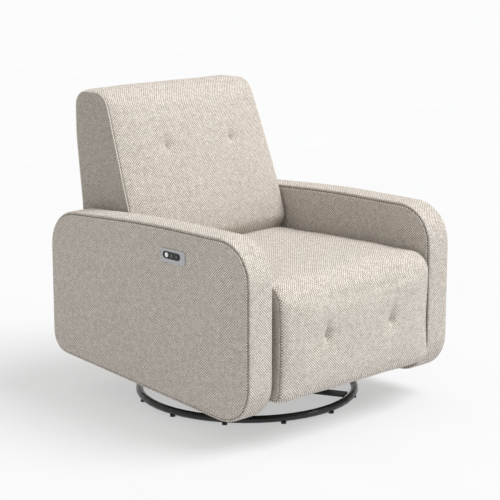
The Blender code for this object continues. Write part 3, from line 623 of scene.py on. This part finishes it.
def stitches(name, centres, tangents, length, radius):
    """Short rounded stitches, one at each centre, lying along its tangent."""
    verts, faces = [], []
    sideways = np.cross(tangents, NO_SEAM_DIRECTION)
    sideways /= np.linalg.norm(sideways, axis=1)[:, None]
    upright = np.cross(tangents, sideways)
    for centre, along, a, b in zip(centres, tangents, sideways, upright):
        start = len(verts)
        verts.append(centre - along * length / 2)
        for share, width in STITCH_RINGS:
            for k in range(STITCH_SIDES):
                turn = 2 * math.pi * k / STITCH_SIDES
                reach = (a * math.cos(turn) + b * math.sin(turn)) * radius * width
                verts.append(centre + along * length * share + reach)
        verts.append(centre + along * length / 2)
        last = len(verts) - 1
        for k in range(STITCH_SIDES):
            following = (k + 1) % STITCH_SIDES
            faces.append((start, start + 1 + following, start + 1 + k))
            for ring in range(len(STITCH_RINGS) - 1):
                low = start + 1 + ring * STITCH_SIDES
                high = low + STITCH_SIDES
                faces.append((low + k, low + following, high + following, high + k))
            top = start + 1 + (len(STITCH_RINGS) - 1) * STITCH_SIDES
            faces.append((top + k, top + following, last))
    return mesh_piece(name, verts, faces, MATERIALS["dark_thread_painted_shade"])


def welt(name, points):
    """A closed run of two-ply twisted cord."""
    at, tangent = closed_resample(points, WELT_STEP)
    twists = round(len(at) * WELT_STEP / WELT_LAY)
    across = np.array((1.0, 0.0, 0.0))
    inward = np.cross(tangent, across)
    inward /= np.linalg.norm(inward, axis=1)[:, None]
    verts, faces = [], []
    for i, (centre, b) in enumerate(zip(at, inward)):
        twist = 2 * math.pi * twists * i / len(at)
        for k in range(WELT_SIDES):
            turn = 2 * math.pi * k / WELT_SIDES
            radius = WELT_RADIUS * (1 + WELT_LOBE * math.cos(2 * turn - twist))
            verts.append(centre + (across * math.cos(turn) + b * math.sin(turn)) * radius)
    for i in range(len(at)):
        here, there = i * WELT_SIDES, (i + 1) % len(at) * WELT_SIDES
        for k in range(WELT_SIDES):
            following = (k + 1) % WELT_SIDES
            faces.append((here + k, here + following, there + following, there + k))
    return mesh_piece(name, verts, faces, MATERIALS["cord"])


def sew(name, lines):
    """Stitches along closed lines."""
    centres, tangents = zip(*(closed_resample(line, STITCH_PITCH) for line in lines))
    return stitches(
        name, np.concatenate(centres), np.concatenate(tangents), STITCH_LENGTH, STITCH_RADIUS
    )


def tuft_stitches(name, piece, tufts, facing):
    """One upright stitch at the bottom of each tuft."""
    co = coordinates(piece.data)
    normals = vertex_normals(piece.data)
    near = normals @ np.array(facing) > FACING_AT_DIMPLE
    up = np.cross(facing, (1.0, 0.0, 0.0))
    up /= np.linalg.norm(up)
    centres = []
    for x, z in tufts:
        away = np.hypot(co[:, 0] - x, co[:, 2] - z) + np.where(near, 0, 1)
        nearest = int(np.argmin(away))
        centres.append(co[nearest] + np.array(facing) * TUFT_STITCH_LIFT)
    return stitches(
        name, np.array(centres), np.array([up] * len(centres)), TUFT_STITCH_LENGTH, TUFT_STITCH_RADIUS
    )


# -------------------------------------------------------------------- materials


class Nodes:
    """Short names for building a material's node tree."""

    def __init__(self, name):
        self.material = bpy.data.materials.new(name)
        self.material.use_nodes = True
        self.tree = self.material.node_tree
        self.shader = self.tree.nodes["Principled BSDF"]

    def add(self, kind, **settings):
        node = self.tree.nodes.new(kind)
        for key, value in settings.items():
            setattr(node, key, value)
        return node

    def plug(self, value, socket):
        if hasattr(value, "is_output"):
            self.tree.links.new(value, socket)
        else:
            socket.default_value = value

    def math(self, operation, *values, clamp=False):
        node = self.add("ShaderNodeMath", operation=operation, use_clamp=clamp)
        for value, socket in zip(values, node.inputs):
            self.plug(value, socket)
        return node.outputs[0]

    def mix(self, factor, a, b, kind="RGBA", blend="MIX"):
        node = self.add("ShaderNodeMix", data_type=kind)
        if kind == "RGBA":
            node.blend_type = blend
        self.plug(factor, node.inputs[0])
        inputs = [s for s in node.inputs if s.enabled and s.name in ("A", "B")]
        for value, socket in zip((a, b), inputs):
            if kind == "RGBA" and not hasattr(value, "is_output"):
                value = (*value[:3], 1.0)
            self.plug(value, socket)
        return next(s for s in node.outputs if s.enabled)

    def noise(self, vector, scale, detail, roughness):
        node = self.add("ShaderNodeTexNoise")
        self.plug(vector, node.inputs["Vector"])
        node.inputs["Scale"].default_value = scale
        node.inputs["Detail"].default_value = detail
        node.inputs["Roughness"].default_value = roughness
        return node.outputs["Fac"]

    def ramp(self, value, low, high, to_low=0.0, to_high=1.0):
        node = self.add("ShaderNodeMapRange")
        for number, socket in zip((value, low, high, to_low, to_high), node.inputs):
            self.plug(number, socket)
        return node.outputs[0]

    def object_vector(self, stretch=(1, 1, 1)):
        place = self.add("ShaderNodeTexCoord").outputs["Object"]
        node = self.add("ShaderNodeMapping")
        self.plug(place, node.inputs["Vector"])
        node.inputs["Scale"].default_value = stretch
        return node.outputs[0]

    def bump(self, height, distance, strength):
        node = self.add("ShaderNodeBump")
        node.inputs["Strength"].default_value = strength
        node.inputs["Distance"].default_value = distance
        self.plug(height, node.inputs["Height"])
        return node.outputs[0]

    def finish(self, colour, roughness, normal=None, **constants):
        self.plug(colour, self.shader.inputs["Base Color"])
        self.plug(roughness, self.shader.inputs["Roughness"])
        if normal is not None:
            self.plug(normal, self.shader.inputs["Normal"])
        for key, value in constants.items():
            self.shader.inputs[key.replace("_", " ")].default_value = value
        return self.material


def tweed_material(name, light, dark, gap_shade):
    """A two by two basket weave of thick, uneven yarns, in two tones."""
    n = Nodes(name)
    uv = n.add("ShaderNodeUVMap", uv_map="weave").outputs[0]
    wander = n.add("ShaderNodeTexNoise")
    n.plug(uv, wander.inputs["Vector"])
    wander.inputs["Scale"].default_value = 70.0
    wander.inputs["Detail"].default_value = 2.0
    shift = n.add("ShaderNodeVectorMath", operation="MULTIPLY_ADD")
    n.plug(wander.outputs["Color"], shift.inputs[0])
    shift.inputs[1].default_value = (YARN_WANDER, YARN_WANDER, 0.0)
    n.plug(uv, shift.inputs[2])
    parts = n.add("ShaderNodeSeparateXYZ")
    n.plug(shift.outputs[0], parts.inputs[0])

    # Which pair of yarns is on top, where it is across and along itself, and its number
    u = n.math("DIVIDE", parts.outputs[0], WEAVE_PITCH)
    v = n.math("DIVIDE", parts.outputs[1], WEAVE_PITCH)
    half_u, half_v = n.math("MULTIPLY", u, 0.5), n.math("MULTIPLY", v, 0.5)
    cell = n.math("ADD", n.math("FLOOR", half_u), n.math("FLOOR", half_v))
    warp = n.math("FLOORED_MODULO", cell, 2.0)
    across = n.mix(warp, n.math("FRACT", v), n.math("FRACT", u), "FLOAT")
    along = n.mix(warp, n.math("FRACT", half_u), n.math("FRACT", half_v), "FLOAT")
    yarn = n.mix(warp, n.math("FLOOR", v), n.math("FLOOR", u), "FLOAT")
    run = n.mix(warp, n.math("FLOOR", half_u), n.math("FLOOR", half_v), "FLOAT")

    # A round yarn that dips under its neighbours at both ends
    bow = n.math("ABSOLUTE", n.math("MULTIPLY_ADD", across, 2.0, -1.0))
    round_yarn = n.math("SQRT", n.math("SUBTRACT", 1.0, n.math("POWER", bow, 2.4), clamp=True))
    dip = n.math("ABSOLUTE", n.math("MULTIPLY_ADD", along, 2.0, -1.0))
    arch = n.math("SUBTRACT", 1.0, n.math("POWER", dip, 3.0), clamp=True)
    height = n.math("MULTIPLY", round_yarn, n.math("MULTIPLY_ADD", arch, 0.65, 0.35))

    # Each yarn's own tone, with slubs along it and fine fibres over it
    place = n.add("ShaderNodeCombineXYZ")
    for socket, value in enumerate((yarn, run, warp)):
        n.plug(value, place.inputs[socket])
    chance = n.add("ShaderNodeTexWhiteNoise", noise_dimensions="3D")
    n.plug(place.outputs[0], chance.inputs["Vector"])
    fibres = n.noise(uv, 2600.0, 3.0, 0.65)
    slubs = n.noise(uv, 55.0, 2.0, 0.5)
    drift = n.noise(n.object_vector(), 5.0, 2.0, 0.5)
    by_direction = n.math("MULTIPLY_ADD", warp, WARP_TONE, TONE_SHIFT)
    tone = n.math("MULTIPLY_ADD", chance.outputs[0], CHANCE_TONE, by_direction)
    tone = n.math("ADD", tone, n.math("MULTIPLY_ADD", slubs, 0.5, -0.25))
    tone = n.math("ADD", tone, n.math("MULTIPLY_ADD", fibres, 0.4, -0.20), clamp=True)
    yarn_colour = n.mix(tone, dark, light)
    # Painted shade: where the yarns dip low, the colour goes to the gap colour, for the shade between them
    shaded = n.mix(n.ramp(height, 0.12, 0.72), gap_shade, yarn_colour)
    faded = n.ramp(drift, 0.3, 0.7, 0.0, 0.10)
    colour = n.mix(faded, shaded, (0.90, 0.87, 0.84), blend="MULTIPLY")
    relief = n.math("ADD", height, n.math("MULTIPLY", fibres, 0.22))
    normal = n.bump(relief, WEAVE_PITCH * 0.45, 0.85)
    rough = n.ramp(fibres, 0.3, 0.7, 0.86, 0.98)
    return n.finish(
        colour, rough, normal, Sheen_Weight=0.10, Sheen_Roughness=0.45, Specular_IOR_Level=0.25
    )


def thread_material(name, colour):
    """Sewing thread and twisted cord: fine diagonal ply."""
    n = Nodes(name)
    grain = n.noise(n.object_vector(), 1900.0, 2.0, 0.6)
    tint = n.mix(n.ramp(grain, 0.35, 0.65), [c * 0.72 for c in colour], colour)
    return n.finish(tint, 0.85, n.bump(grain, 0.0004, 0.7), Sheen_Weight=0.2)


def powder_coat_material(name, colour, edge):
    """Satin black powder coat: orange peel, a little dust, worn slightly lighter in places."""
    n = Nodes(name)
    place = n.object_vector()
    peel = n.noise(place, 900.0, 2.0, 0.5)
    dust = n.noise(place, 24.0, 4.0, 0.6)
    scuffs = n.noise(n.object_vector((1, 1, 6)), 130.0, 3.0, 0.7)
    worn = n.math("MULTIPLY", n.ramp(scuffs, 0.60, 0.72), n.ramp(dust, 0.45, 0.7))
    tint = n.mix(worn, n.mix(n.ramp(dust, 0.35, 0.75), colour, [c * 1.5 for c in colour]), edge)
    rough = n.ramp(dust, 0.3, 0.7, 0.17, 0.27)
    return n.finish(tint, rough, n.bump(peel, 0.0004, 0.25), Specular_IOR_Level=0.55)


def zinc_material(name):
    """Bright zinc plate: small crystals, faint rolling lines and blue-grey patches."""
    n = Nodes(name)
    place = n.object_vector()
    crystal = n.add("ShaderNodeTexVoronoi")
    n.plug(place, crystal.inputs["Vector"])
    crystal.inputs["Scale"].default_value = 420.0
    patches = n.noise(place, 30.0, 3.0, 0.6)
    lines = n.noise(n.object_vector((400, 6, 6)), 3.0, 2.0, 0.5)
    tone = n.math("MULTIPLY_ADD", crystal.outputs["Distance"], 0.25, n.math("MULTIPLY", patches, 0.8))
    colour = n.mix(n.ramp(tone, 0.25, 0.75), (0.40, 0.42, 0.44), (0.62, 0.62, 0.61))
    return n.finish(
        colour, n.ramp(patches, 0.3, 0.7, 0.26, 0.42), n.bump(lines, 0.0002, 0.3), Metallic=1.0
    )


def wood_material(name):
    """Unfinished plywood and hardwood: plies at the edges, grain on the faces."""
    n = Nodes(name)
    grain = n.noise(n.object_vector((14, 1.3, 14)), 9.0, 4.0, 0.65)
    fine = n.noise(n.object_vector((260, 9, 260)), 3.0, 2.0, 0.5)
    tone = n.math("MULTIPLY_ADD", grain, 0.75, n.math("MULTIPLY", fine, 0.3))
    colour = n.mix(n.ramp(tone, 0.3, 0.8), (0.33, 0.19, 0.09), (0.66, 0.47, 0.28))
    return n.finish(colour, n.ramp(fine, 0.3, 0.7, 0.55, 0.72), n.bump(tone, 0.0006, 0.4))


def plastic_material(name, colour, roughness):
    """Moulded plastic with a fine spark-eroded texture."""
    n = Nodes(name)
    place = n.object_vector()
    spark = n.noise(place, 1300.0, 3.0, 0.6)
    rub = n.noise(place, 45.0, 3.0, 0.6)
    tint = n.mix(n.ramp(rub, 0.4, 0.75), colour, [c * 1.35 + 0.004 for c in colour])
    rough = n.ramp(rub, 0.3, 0.7, roughness - 0.06, roughness + 0.08)
    return n.finish(tint, rough, n.bump(spark, 0.00025, 0.5))


def brushed_material(name, colour, roughness, grain):
    """Brushed metal, with fine lines where its grain is stretched."""
    n = Nodes(name)
    lines = n.noise(n.object_vector(grain), 4.0, 3.0, 0.7)
    smudges = n.noise(n.object_vector(), 60.0, 2.0, 0.5)
    tint = n.mix(n.ramp(lines, 0.3, 0.7), [c * 0.80 for c in colour], colour)
    brushed = n.ramp(lines, 0.3, 0.7, roughness - 0.08, roughness + 0.08)
    rough = n.math("ADD", brushed, n.ramp(smudges, 0.4, 0.7, 0.0, 0.06))
    return n.finish(tint, rough, n.bump(lines, 0.00008, 0.5), Metallic=1.0, Anisotropic=0.5)


MATERIALS = {
    "upholstery": tweed_material("tweed", *YARNS),
    # A darker copy of the fabric, for painted shade on the back's side panels
    "painted_shade_tweed": tweed_material("tweed_painted_shade", *[[c * SIDE_PANEL_PAINTED_SHADE for c in yarn] for yarn in YARNS]),
    # Dark brown thread: real stitches, whose dark colour is painted shade, so the seam grooves and tuft
    # bottoms read as dark lines and spots
    "dark_thread_painted_shade": thread_material("dark_thread_painted_shade", (0.20, 0.16, 0.12)),
    "cord": thread_material("cord", (0.80, 0.74, 0.66)),
    "black_steel": powder_coat_material(
        "black_powder_coat", (0.006, 0.006, 0.0065), (0.03, 0.03, 0.032)
    ),
    "zinc_steel": zinc_material("zinc_plate"),
    "spring_steel": powder_coat_material("oiled_wire", (0.05, 0.05, 0.055), (0.16, 0.15, 0.14)),
    "hardwood": wood_material("plywood"),
    "black_nylon": plastic_material("black_nylon", (0.014, 0.014, 0.014), 0.55),
    "switch_black": plastic_material("switch_black", (0.005, 0.005, 0.0055), 0.30),
    "brushed_panel": brushed_material("brushed_panel", (0.46, 0.46, 0.475), 0.30, (60, 4, 900)),
    "silver_button": brushed_material("silver_button", (0.80, 0.80, 0.80), 0.30, (300, 300, 300)),
}


def dress_cad_nodes():
    """Give every CAD node that stays its finished material."""
    for part in frame["record"]["subparts"]:
        node = frame["nodes"][part["node"]]
        for slot in node.material_slots:
            slot.material = MATERIALS[part["material_slot"]]


# ------------------------------------------------------------------- upholstery


def arm_sides():
    """The arm's outline as its four sides: rear, top, front, bottom."""
    inset = ARM_SEAM_INSET
    front, rear = ARM_FRONT + inset, ARM_REAR - inset

    def bottom(y):
        return ARM_BOTTOM_AT_ZERO + ARM_BOTTOM_SLOPE * y + inset

    corners = [
        (front, bottom(front), ARM_RADII["front_bottom"] - inset),
        (rear, bottom(rear), ARM_RADII["rear_bottom"] - inset),
        (rear, ARM_TOP_REAR - inset, ARM_RADII["rear_top"] - inset),
        (front, ARM_TOP_FRONT - inset, ARM_RADII["front_top"] - inset),
    ]
    arcs = rounded(corners)
    bottom_side, rear_side = side_of(arcs, 0, 1), side_of(arcs, 1, 2)
    top_side, front_side = side_of(arcs, 2, 3), side_of(arcs, 3, 0)
    share = np.linspace(0, 1, ARM_TOP_POINTS)
    top_side = resample(top_side, share)
    top_side[:, 1] += ARM_TOP_CROWN * np.sin(math.pi * share) ** 2
    return rear_side, top_side, front_side, bottom_side


def build_arm(name, node, side, body):
    """A padded slab arm: two side panels and one band round its edge."""
    outer, inner = ARM_OUTER - ARM_FACE_CROWN, ARM_INNER + ARM_INNER_CROWN
    x_low, x_high = sorted((side * outer, side * inner))
    piece, panels, seams = boxed_form(
        name, arm_sides(), x_low, x_high, [ARM_BAND_RISE] * 4, ARM_EDGE_RADIUS
    )
    mesh = piece.data
    inner_panel = HIGH_PANEL if side < 0 else LOW_PANEL
    face_crown = np.where(panels == inner_panel, ARM_INNER_CROWN, ARM_FACE_CROWN)
    inflate(piece, panels == SEAM, np.where(panels == BAND, ARM_BAND_CROWN, face_crown))
    if side < 0:
        flatten_round_panel(mesh)
    sink_seams(mesh, seams.values(), ARM_SEAM_DEPTH)
    mark_seams(mesh, *seams.values())
    finish_cloth(piece)
    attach(piece, body)
    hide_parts(node)
    # Stitches along both seams, in the dark thread: their colour paints the shade in the grooves
    lines = [seam_line(piece, loop, ARM_STITCH_LIFT) for loop in seams.values()]
    stitching_painted_shade = sew(name.replace("upholstery", "stitching_painted_shade"), lines)
    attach(stitching_painted_shade, body)


def flatten_round_panel(mesh):
    """The fabric lies flat under the control panel's plate."""
    co = coordinates(mesh)
    reach_y = np.maximum(0, np.abs(co[:, 1] - PANEL_CENTRE[0]) - PANEL_SIZE[0] / 2)
    reach_z = np.maximum(0, np.abs(co[:, 2] - PANEL_CENTRE[1]) - PANEL_SIZE[1] / 2)
    away = np.hypot(reach_y, reach_z)
    share = np.clip(1 - away / PANEL_FLAT_MARGIN, 0, 1) ** 2
    share[co[:, 0] > PANEL_FACE_DEPTH - ARM_OUTER] = 0
    co[:, 0] += (-ARM_OUTER - co[:, 0]) * share
    set_coordinates(mesh, co)


def build_back_cover():
    """The back's upholstery: boxed side panels, and one long panel over the front, top and rear."""
    arcs = rounded(BACK_CORNERS)
    rear = side_of(arcs, 1, 4)
    top = side_of(arcs, 4, 5)
    front = side_of(arcs, 5, 0)
    bottom = side_of(arcs, 0, 1)
    seam_x = SOFT_HALF_WIDTH - SOFT_SIDE_CROWN
    rises = (0.0, BACK_REAR_RISE, BACK_TOP_RISE, BACK_FRONT_RISE)
    piece, panels, seams = boxed_form(
        "back_upholstery", (bottom, rear, top, front), -seam_x, seam_x, rises, BACK_EDGE_RADIUS, BACK_TUFTS
    )
    mesh = piece.data
    taper_back(mesh)
    faces_front = vertex_normals(mesh)[:, 1] < FRONT_NORMAL_Y
    most = np.where(faces_front, BACK_FRONT_CROWN, BACK_REAR_CROWN)
    inflate(piece, panels == SEAM, np.where(panels == BAND, most, SOFT_SIDE_CROWN))
    uneven(mesh, panels, BACK_UNEVEN, BACK_UNEVEN_SEED)
    tufted(mesh, BACK_TUFTS, BACK_FACING, **BACK_TUFT_SHAPE)
    sink_seams(mesh, seams.values(), SOFT_SEAM_DEPTH)
    mark_seams(mesh, *seams.values())
    finish_cloth(piece)
    # Painted shade: the faces that look sideways take the darker copy of the fabric
    paint_shade_on_side_panels(piece)
    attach(piece, "back")
    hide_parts("back_cushion")
    for side, loop in (("right", seams["low"]), ("left", seams["high"])):
        cord = welt(f"back_welt_{side}", seam_line(piece, loop, WELT_LIFT))
        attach(cord, "back")
    # A tuft stitch in the dark thread: its colour paints shade at the bottom of each dimple
    knots = tuft_stitches("back_tuft_stitches", piece, BACK_TUFTS, BACK_FACING)
    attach(knots, "back")


def paint_shade_on_side_panels(piece):
    """The back's side panels get a copy of the fabric with every colour scaled down: painted shade that
    makes them read darker.
    """
    mesh = piece.data
    mesh.materials.append(MATERIALS["painted_shade_tweed"])
    normals = np.empty(len(mesh.polygons) * 3, np.float32)
    mesh.polygons.foreach_get("normal", normals)
    painted_shade_faces = np.abs(normals.reshape(-1, 3)[:, 0]) > SIDE_PANEL_FACING
    mesh.polygons.foreach_set("material_index", painted_shade_faces.astype(np.int32))


def taper_back(mesh):
    """The back's front swells out, and it narrows and leans back a little towards its top."""
    co = coordinates(mesh)
    front = np.clip(-vertex_normals(mesh)[:, 1], 0, 1)
    across = 1 - np.clip(np.abs(co[:, 0]) / SOFT_HALF_WIDTH, 0, 1) ** BACK_SWELL_POWER
    above = np.clip((co[:, 2] - BACK_SWELL_BOTTOM) / BACK_SWELL_BOTTOM_FADE, 0, 1)
    below = np.clip((BACK_SWELL_TOP - co[:, 2]) / BACK_SWELL_TOP_FADE, 0, 1)
    co[:, 1] -= BACK_SWELL * front * across * np.sin(0.5 * math.pi * above * below)
    rise = (co[:, 2] - BACK_TAPER_FROM) / (BACK_TAPER_TO - BACK_TAPER_FROM)
    share = np.clip(rise, 0, BACK_TAPER_LIMIT) ** BACK_TAPER_POWER
    co[:, 0] *= 1 - BACK_TAPER * share
    co[:, 1] += BACK_LEAN * share
    set_coordinates(mesh, co)


def build_seat_cover():
    """Seat and footrest pad: one panel runs over the seat, rolls over its front and down the pad."""
    arcs = rounded(SEAT_CORNERS)
    rear = side_of(arcs, 0, 1)
    outer = side_of(arcs, 1, 4)
    low_end = side_of(arcs, 4, 5)
    inner = side_of(arcs, 5, 0)
    sides = (rear, outer, low_end, inner)
    seam_x = SOFT_HALF_WIDTH - SOFT_SIDE_CROWN
    rises = (0.0, SEAT_BAND_RISE, PAD_BOTTOM_RISE, 0.0)
    piece, panels, seams = boxed_form(
        "seat_and_footrest_upholstery", sides, -seam_x, seam_x, rises, SEAT_EDGE_RADIUS, FOOTREST_TUFTS
    )
    mesh = piece.data
    rest = coordinates(mesh)
    normals = vertex_normals(mesh)
    under_seat = (normals[:, 2] < -HIDDEN_FACING) & (rest[:, 2] > SEAT_UNDERSIDE_FROM)
    hidden = (panels == BAND) & (under_seat | (normals[:, 1] > HIDDEN_FACING))
    held = (panels == SEAM) | hidden
    inflate(piece, held, np.where(panels == BAND, SEAT_BAND_CROWN, SOFT_SIDE_CROWN))
    pull_in_pad(mesh)
    uneven(mesh, np.where(hidden, SEAM, panels), SEAT_UNEVEN, SEAT_UNEVEN_SEED)
    tufted(mesh, FOOTREST_TUFTS, PAD_FACING, **FOOTREST_TUFT_SHAPE)
    sink_seams(mesh, seams.values(), SOFT_SEAM_DEPTH)
    mark_seams(mesh, *seams.values())
    finish_cloth(piece)
    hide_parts("seat_cushion", "footrest_pad")
    # Stitches along both seams, in the dark thread: their colour paints the shade in the grooves
    lines = [seam_line(piece, loop, SOFT_STITCH_LIFT) for loop in seams.values()]
    stitching_painted_shade = sew("seat_stitching_painted_shade", lines)
    for soft in (piece, stitching_painted_shade):
        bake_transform(soft)
    # A tuft stitch in the dark thread: its colour paints shade at the bottom of each dimple
    knots = tuft_stitches("footrest_tuft_stitches", piece, FOOTREST_TUFTS, PAD_FACING)
    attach(knots, "footrest")


def pull_in_pad(mesh):
    """The footrest pad's sides draw in between its top and bottom."""
    co = coordinates(mesh)
    front = np.clip((PAD_WAIST_FRONT - co[:, 1]) / PAD_WAIST_FRONT_FADE, 0, 1)
    height = np.clip((co[:, 2] - PAD_WAIST_BOTTOM) / (PAD_WAIST_TOP - PAD_WAIST_BOTTOM), 0, 1)
    outer = np.clip((np.abs(co[:, 0]) - PAD_WAIST_EDGE) / PAD_WAIST_EDGE_FADE, 0, 1)
    waist = np.sin(math.pi * height) ** PAD_WAIST_POWER
    co[:, 0] -= np.sign(co[:, 0]) * PAD_WAIST * front * outer ** 2 * waist
    set_coordinates(mesh, co)


def build_valance():
    """The flat fabric panel that closes the chair's lower rear."""
    low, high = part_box("rear_valance")
    front, rear = low.y + VALANCE_FRONT_INSET, high.y - VALANCE_REAR_INSET
    places = ((front, low.z), (rear, low.z), (rear, high.z), (front, high.z))
    arcs = rounded([(*place, VALANCE_RADIUS) for place in places])
    sides = [side_of(arcs, i, (i + 1) % 4) for i in range(4)]
    piece, panels, _ = boxed_form(
        "valance_upholstery", sides, low.x + VALANCE_SIDE_INSET, high.x - VALANCE_SIDE_INSET
    )
    inflate(piece, panels == SEAM, np.full(len(panels), VALANCE_CROWN))
    finish_cloth(piece)
    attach(piece, "seat_frame")
    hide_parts("rear_valance")


def silver_block(name, low, high, body):
    """A small bevelled block between its lowest and highest corners."""
    bm = bmesh.new()
    middle, size = (Vector(low) + Vector(high)) / 2, Vector(high) - Vector(low)
    for vert in bmesh.ops.create_cube(bm, size=1.0)["verts"]:
        vert.co = Vector(a * b for a, b in zip(vert.co, size)) + middle
    bmesh.ops.bevel(
        bm, geom=bm.edges[:], offset=DETAIL_BEVEL, segments=2, profile=0.5, affect="EDGES"
    )
    mesh = bpy.data.meshes.new(name)
    bm.to_mesh(mesh)
    bm.free()
    mesh.materials.append(MATERIALS["silver_button"])
    piece = link_object(name, mesh)
    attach(piece, body)


def build_switch_details():
    """The raised line between the two buttons, and the small mark on the black one."""
    silver_low, silver_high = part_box("return_button")
    black_low, black_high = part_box("recline_button")
    housing_low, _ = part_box("switch_housing")
    middle_z = (black_low.z + black_high.z) / 2
    between = (min(silver_high.y, black_high.y) + max(silver_low.y, black_low.y)) / 2
    half_width = DIVIDER_WIDTH / 2
    silver_block(
        "switch_divider",
        (housing_low.x - DIVIDER_STAND, between - half_width, middle_z - DIVIDER_HEIGHT / 2),
        (housing_low.x + DIVIDER_STAND, between + half_width, middle_z + DIVIDER_HEIGHT / 2),
        "seat_frame",
    )
    black_y = (black_low.y + black_high.y) / 2
    silver_block(
        "recline_button_mark",
        (black_low.x - DIVIDER_STAND / 2, black_y - half_width, middle_z - MARK_HEIGHT / 2),
        (black_low.x + DIVIDER_STAND, black_y + half_width, middle_z + MARK_HEIGHT / 2),
        "recline_button",
    )


# ------------------------------------------------------------ camera and studio


def make_camera():
    data = bpy.data.cameras.new("camera")
    data.lens = CAMERA_LENS
    data.sensor_width = CAMERA_SENSOR
    camera = link_object("camera", data)
    a, e = CAMERA_AZIMUTH, CAMERA_ELEVATION
    back = Vector((math.sin(a) * math.cos(e), -math.cos(a) * math.cos(e), math.sin(e)))
    camera.location = CAMERA_TARGET + back * CAMERA_DISTANCE
    camera.rotation_euler = (-back).to_track_quat("-Z", "Y").to_euler()
    bpy.context.scene.camera = camera


def make_studio():
    """A pale world, one broad sun, and a floor that fades into the backdrop."""
    scene = bpy.context.scene
    scene.view_settings.view_transform = "Standard"
    world = bpy.data.worlds.new("studio")
    scene.world = world
    world.use_nodes = True
    background = world.node_tree.nodes["Background"]
    background.inputs["Color"].default_value = WORLD_COLOUR
    background.inputs["Strength"].default_value = WORLD_STRENGTH
    key = bpy.data.lights.new("key", "SUN")
    key.energy = KEY_STRENGTH
    key.angle = KEY_SPREAD
    link_object("key", key).rotation_euler = Vector(KEY_DIRECTION).to_track_quat("-Z", "Y").to_euler()
    floor_mesh = bpy.data.meshes.new("studio_floor")
    far = FLOOR_REACH
    corners = [(-far, -far, 0), (far, -far, 0), (far, far, 0), (-far, far, 0)]
    floor_mesh.from_pydata(corners, [], [(0, 1, 2, 3)])
    floor = link_object("studio_floor", floor_mesh)
    n = Nodes("pale_floor")
    speckle = n.noise(n.object_vector(), 3.0, 2.0, 0.5)
    colour = n.mix(n.ramp(speckle, 0.3, 0.7), (0.332, 0.337, 0.343), (0.341, 0.347, 0.353))
    floor_mesh.materials.append(n.finish(
        colour, 0.9, Specular_IOR_Level=0.0, Emission_Color=(1, 1, 1, 1), Emission_Strength=FLOOR_GLOW
    ))


make_camera()
make_studio()
dress_cad_nodes()
build_arm("arm_upholstery_right", "arm_cover_right", -1, "seat_frame")
build_arm("arm_upholstery_left", "arm_cover_left", 1, "seat_frame")
build_back_cover()
build_seat_cover()
build_valance()
build_switch_details()
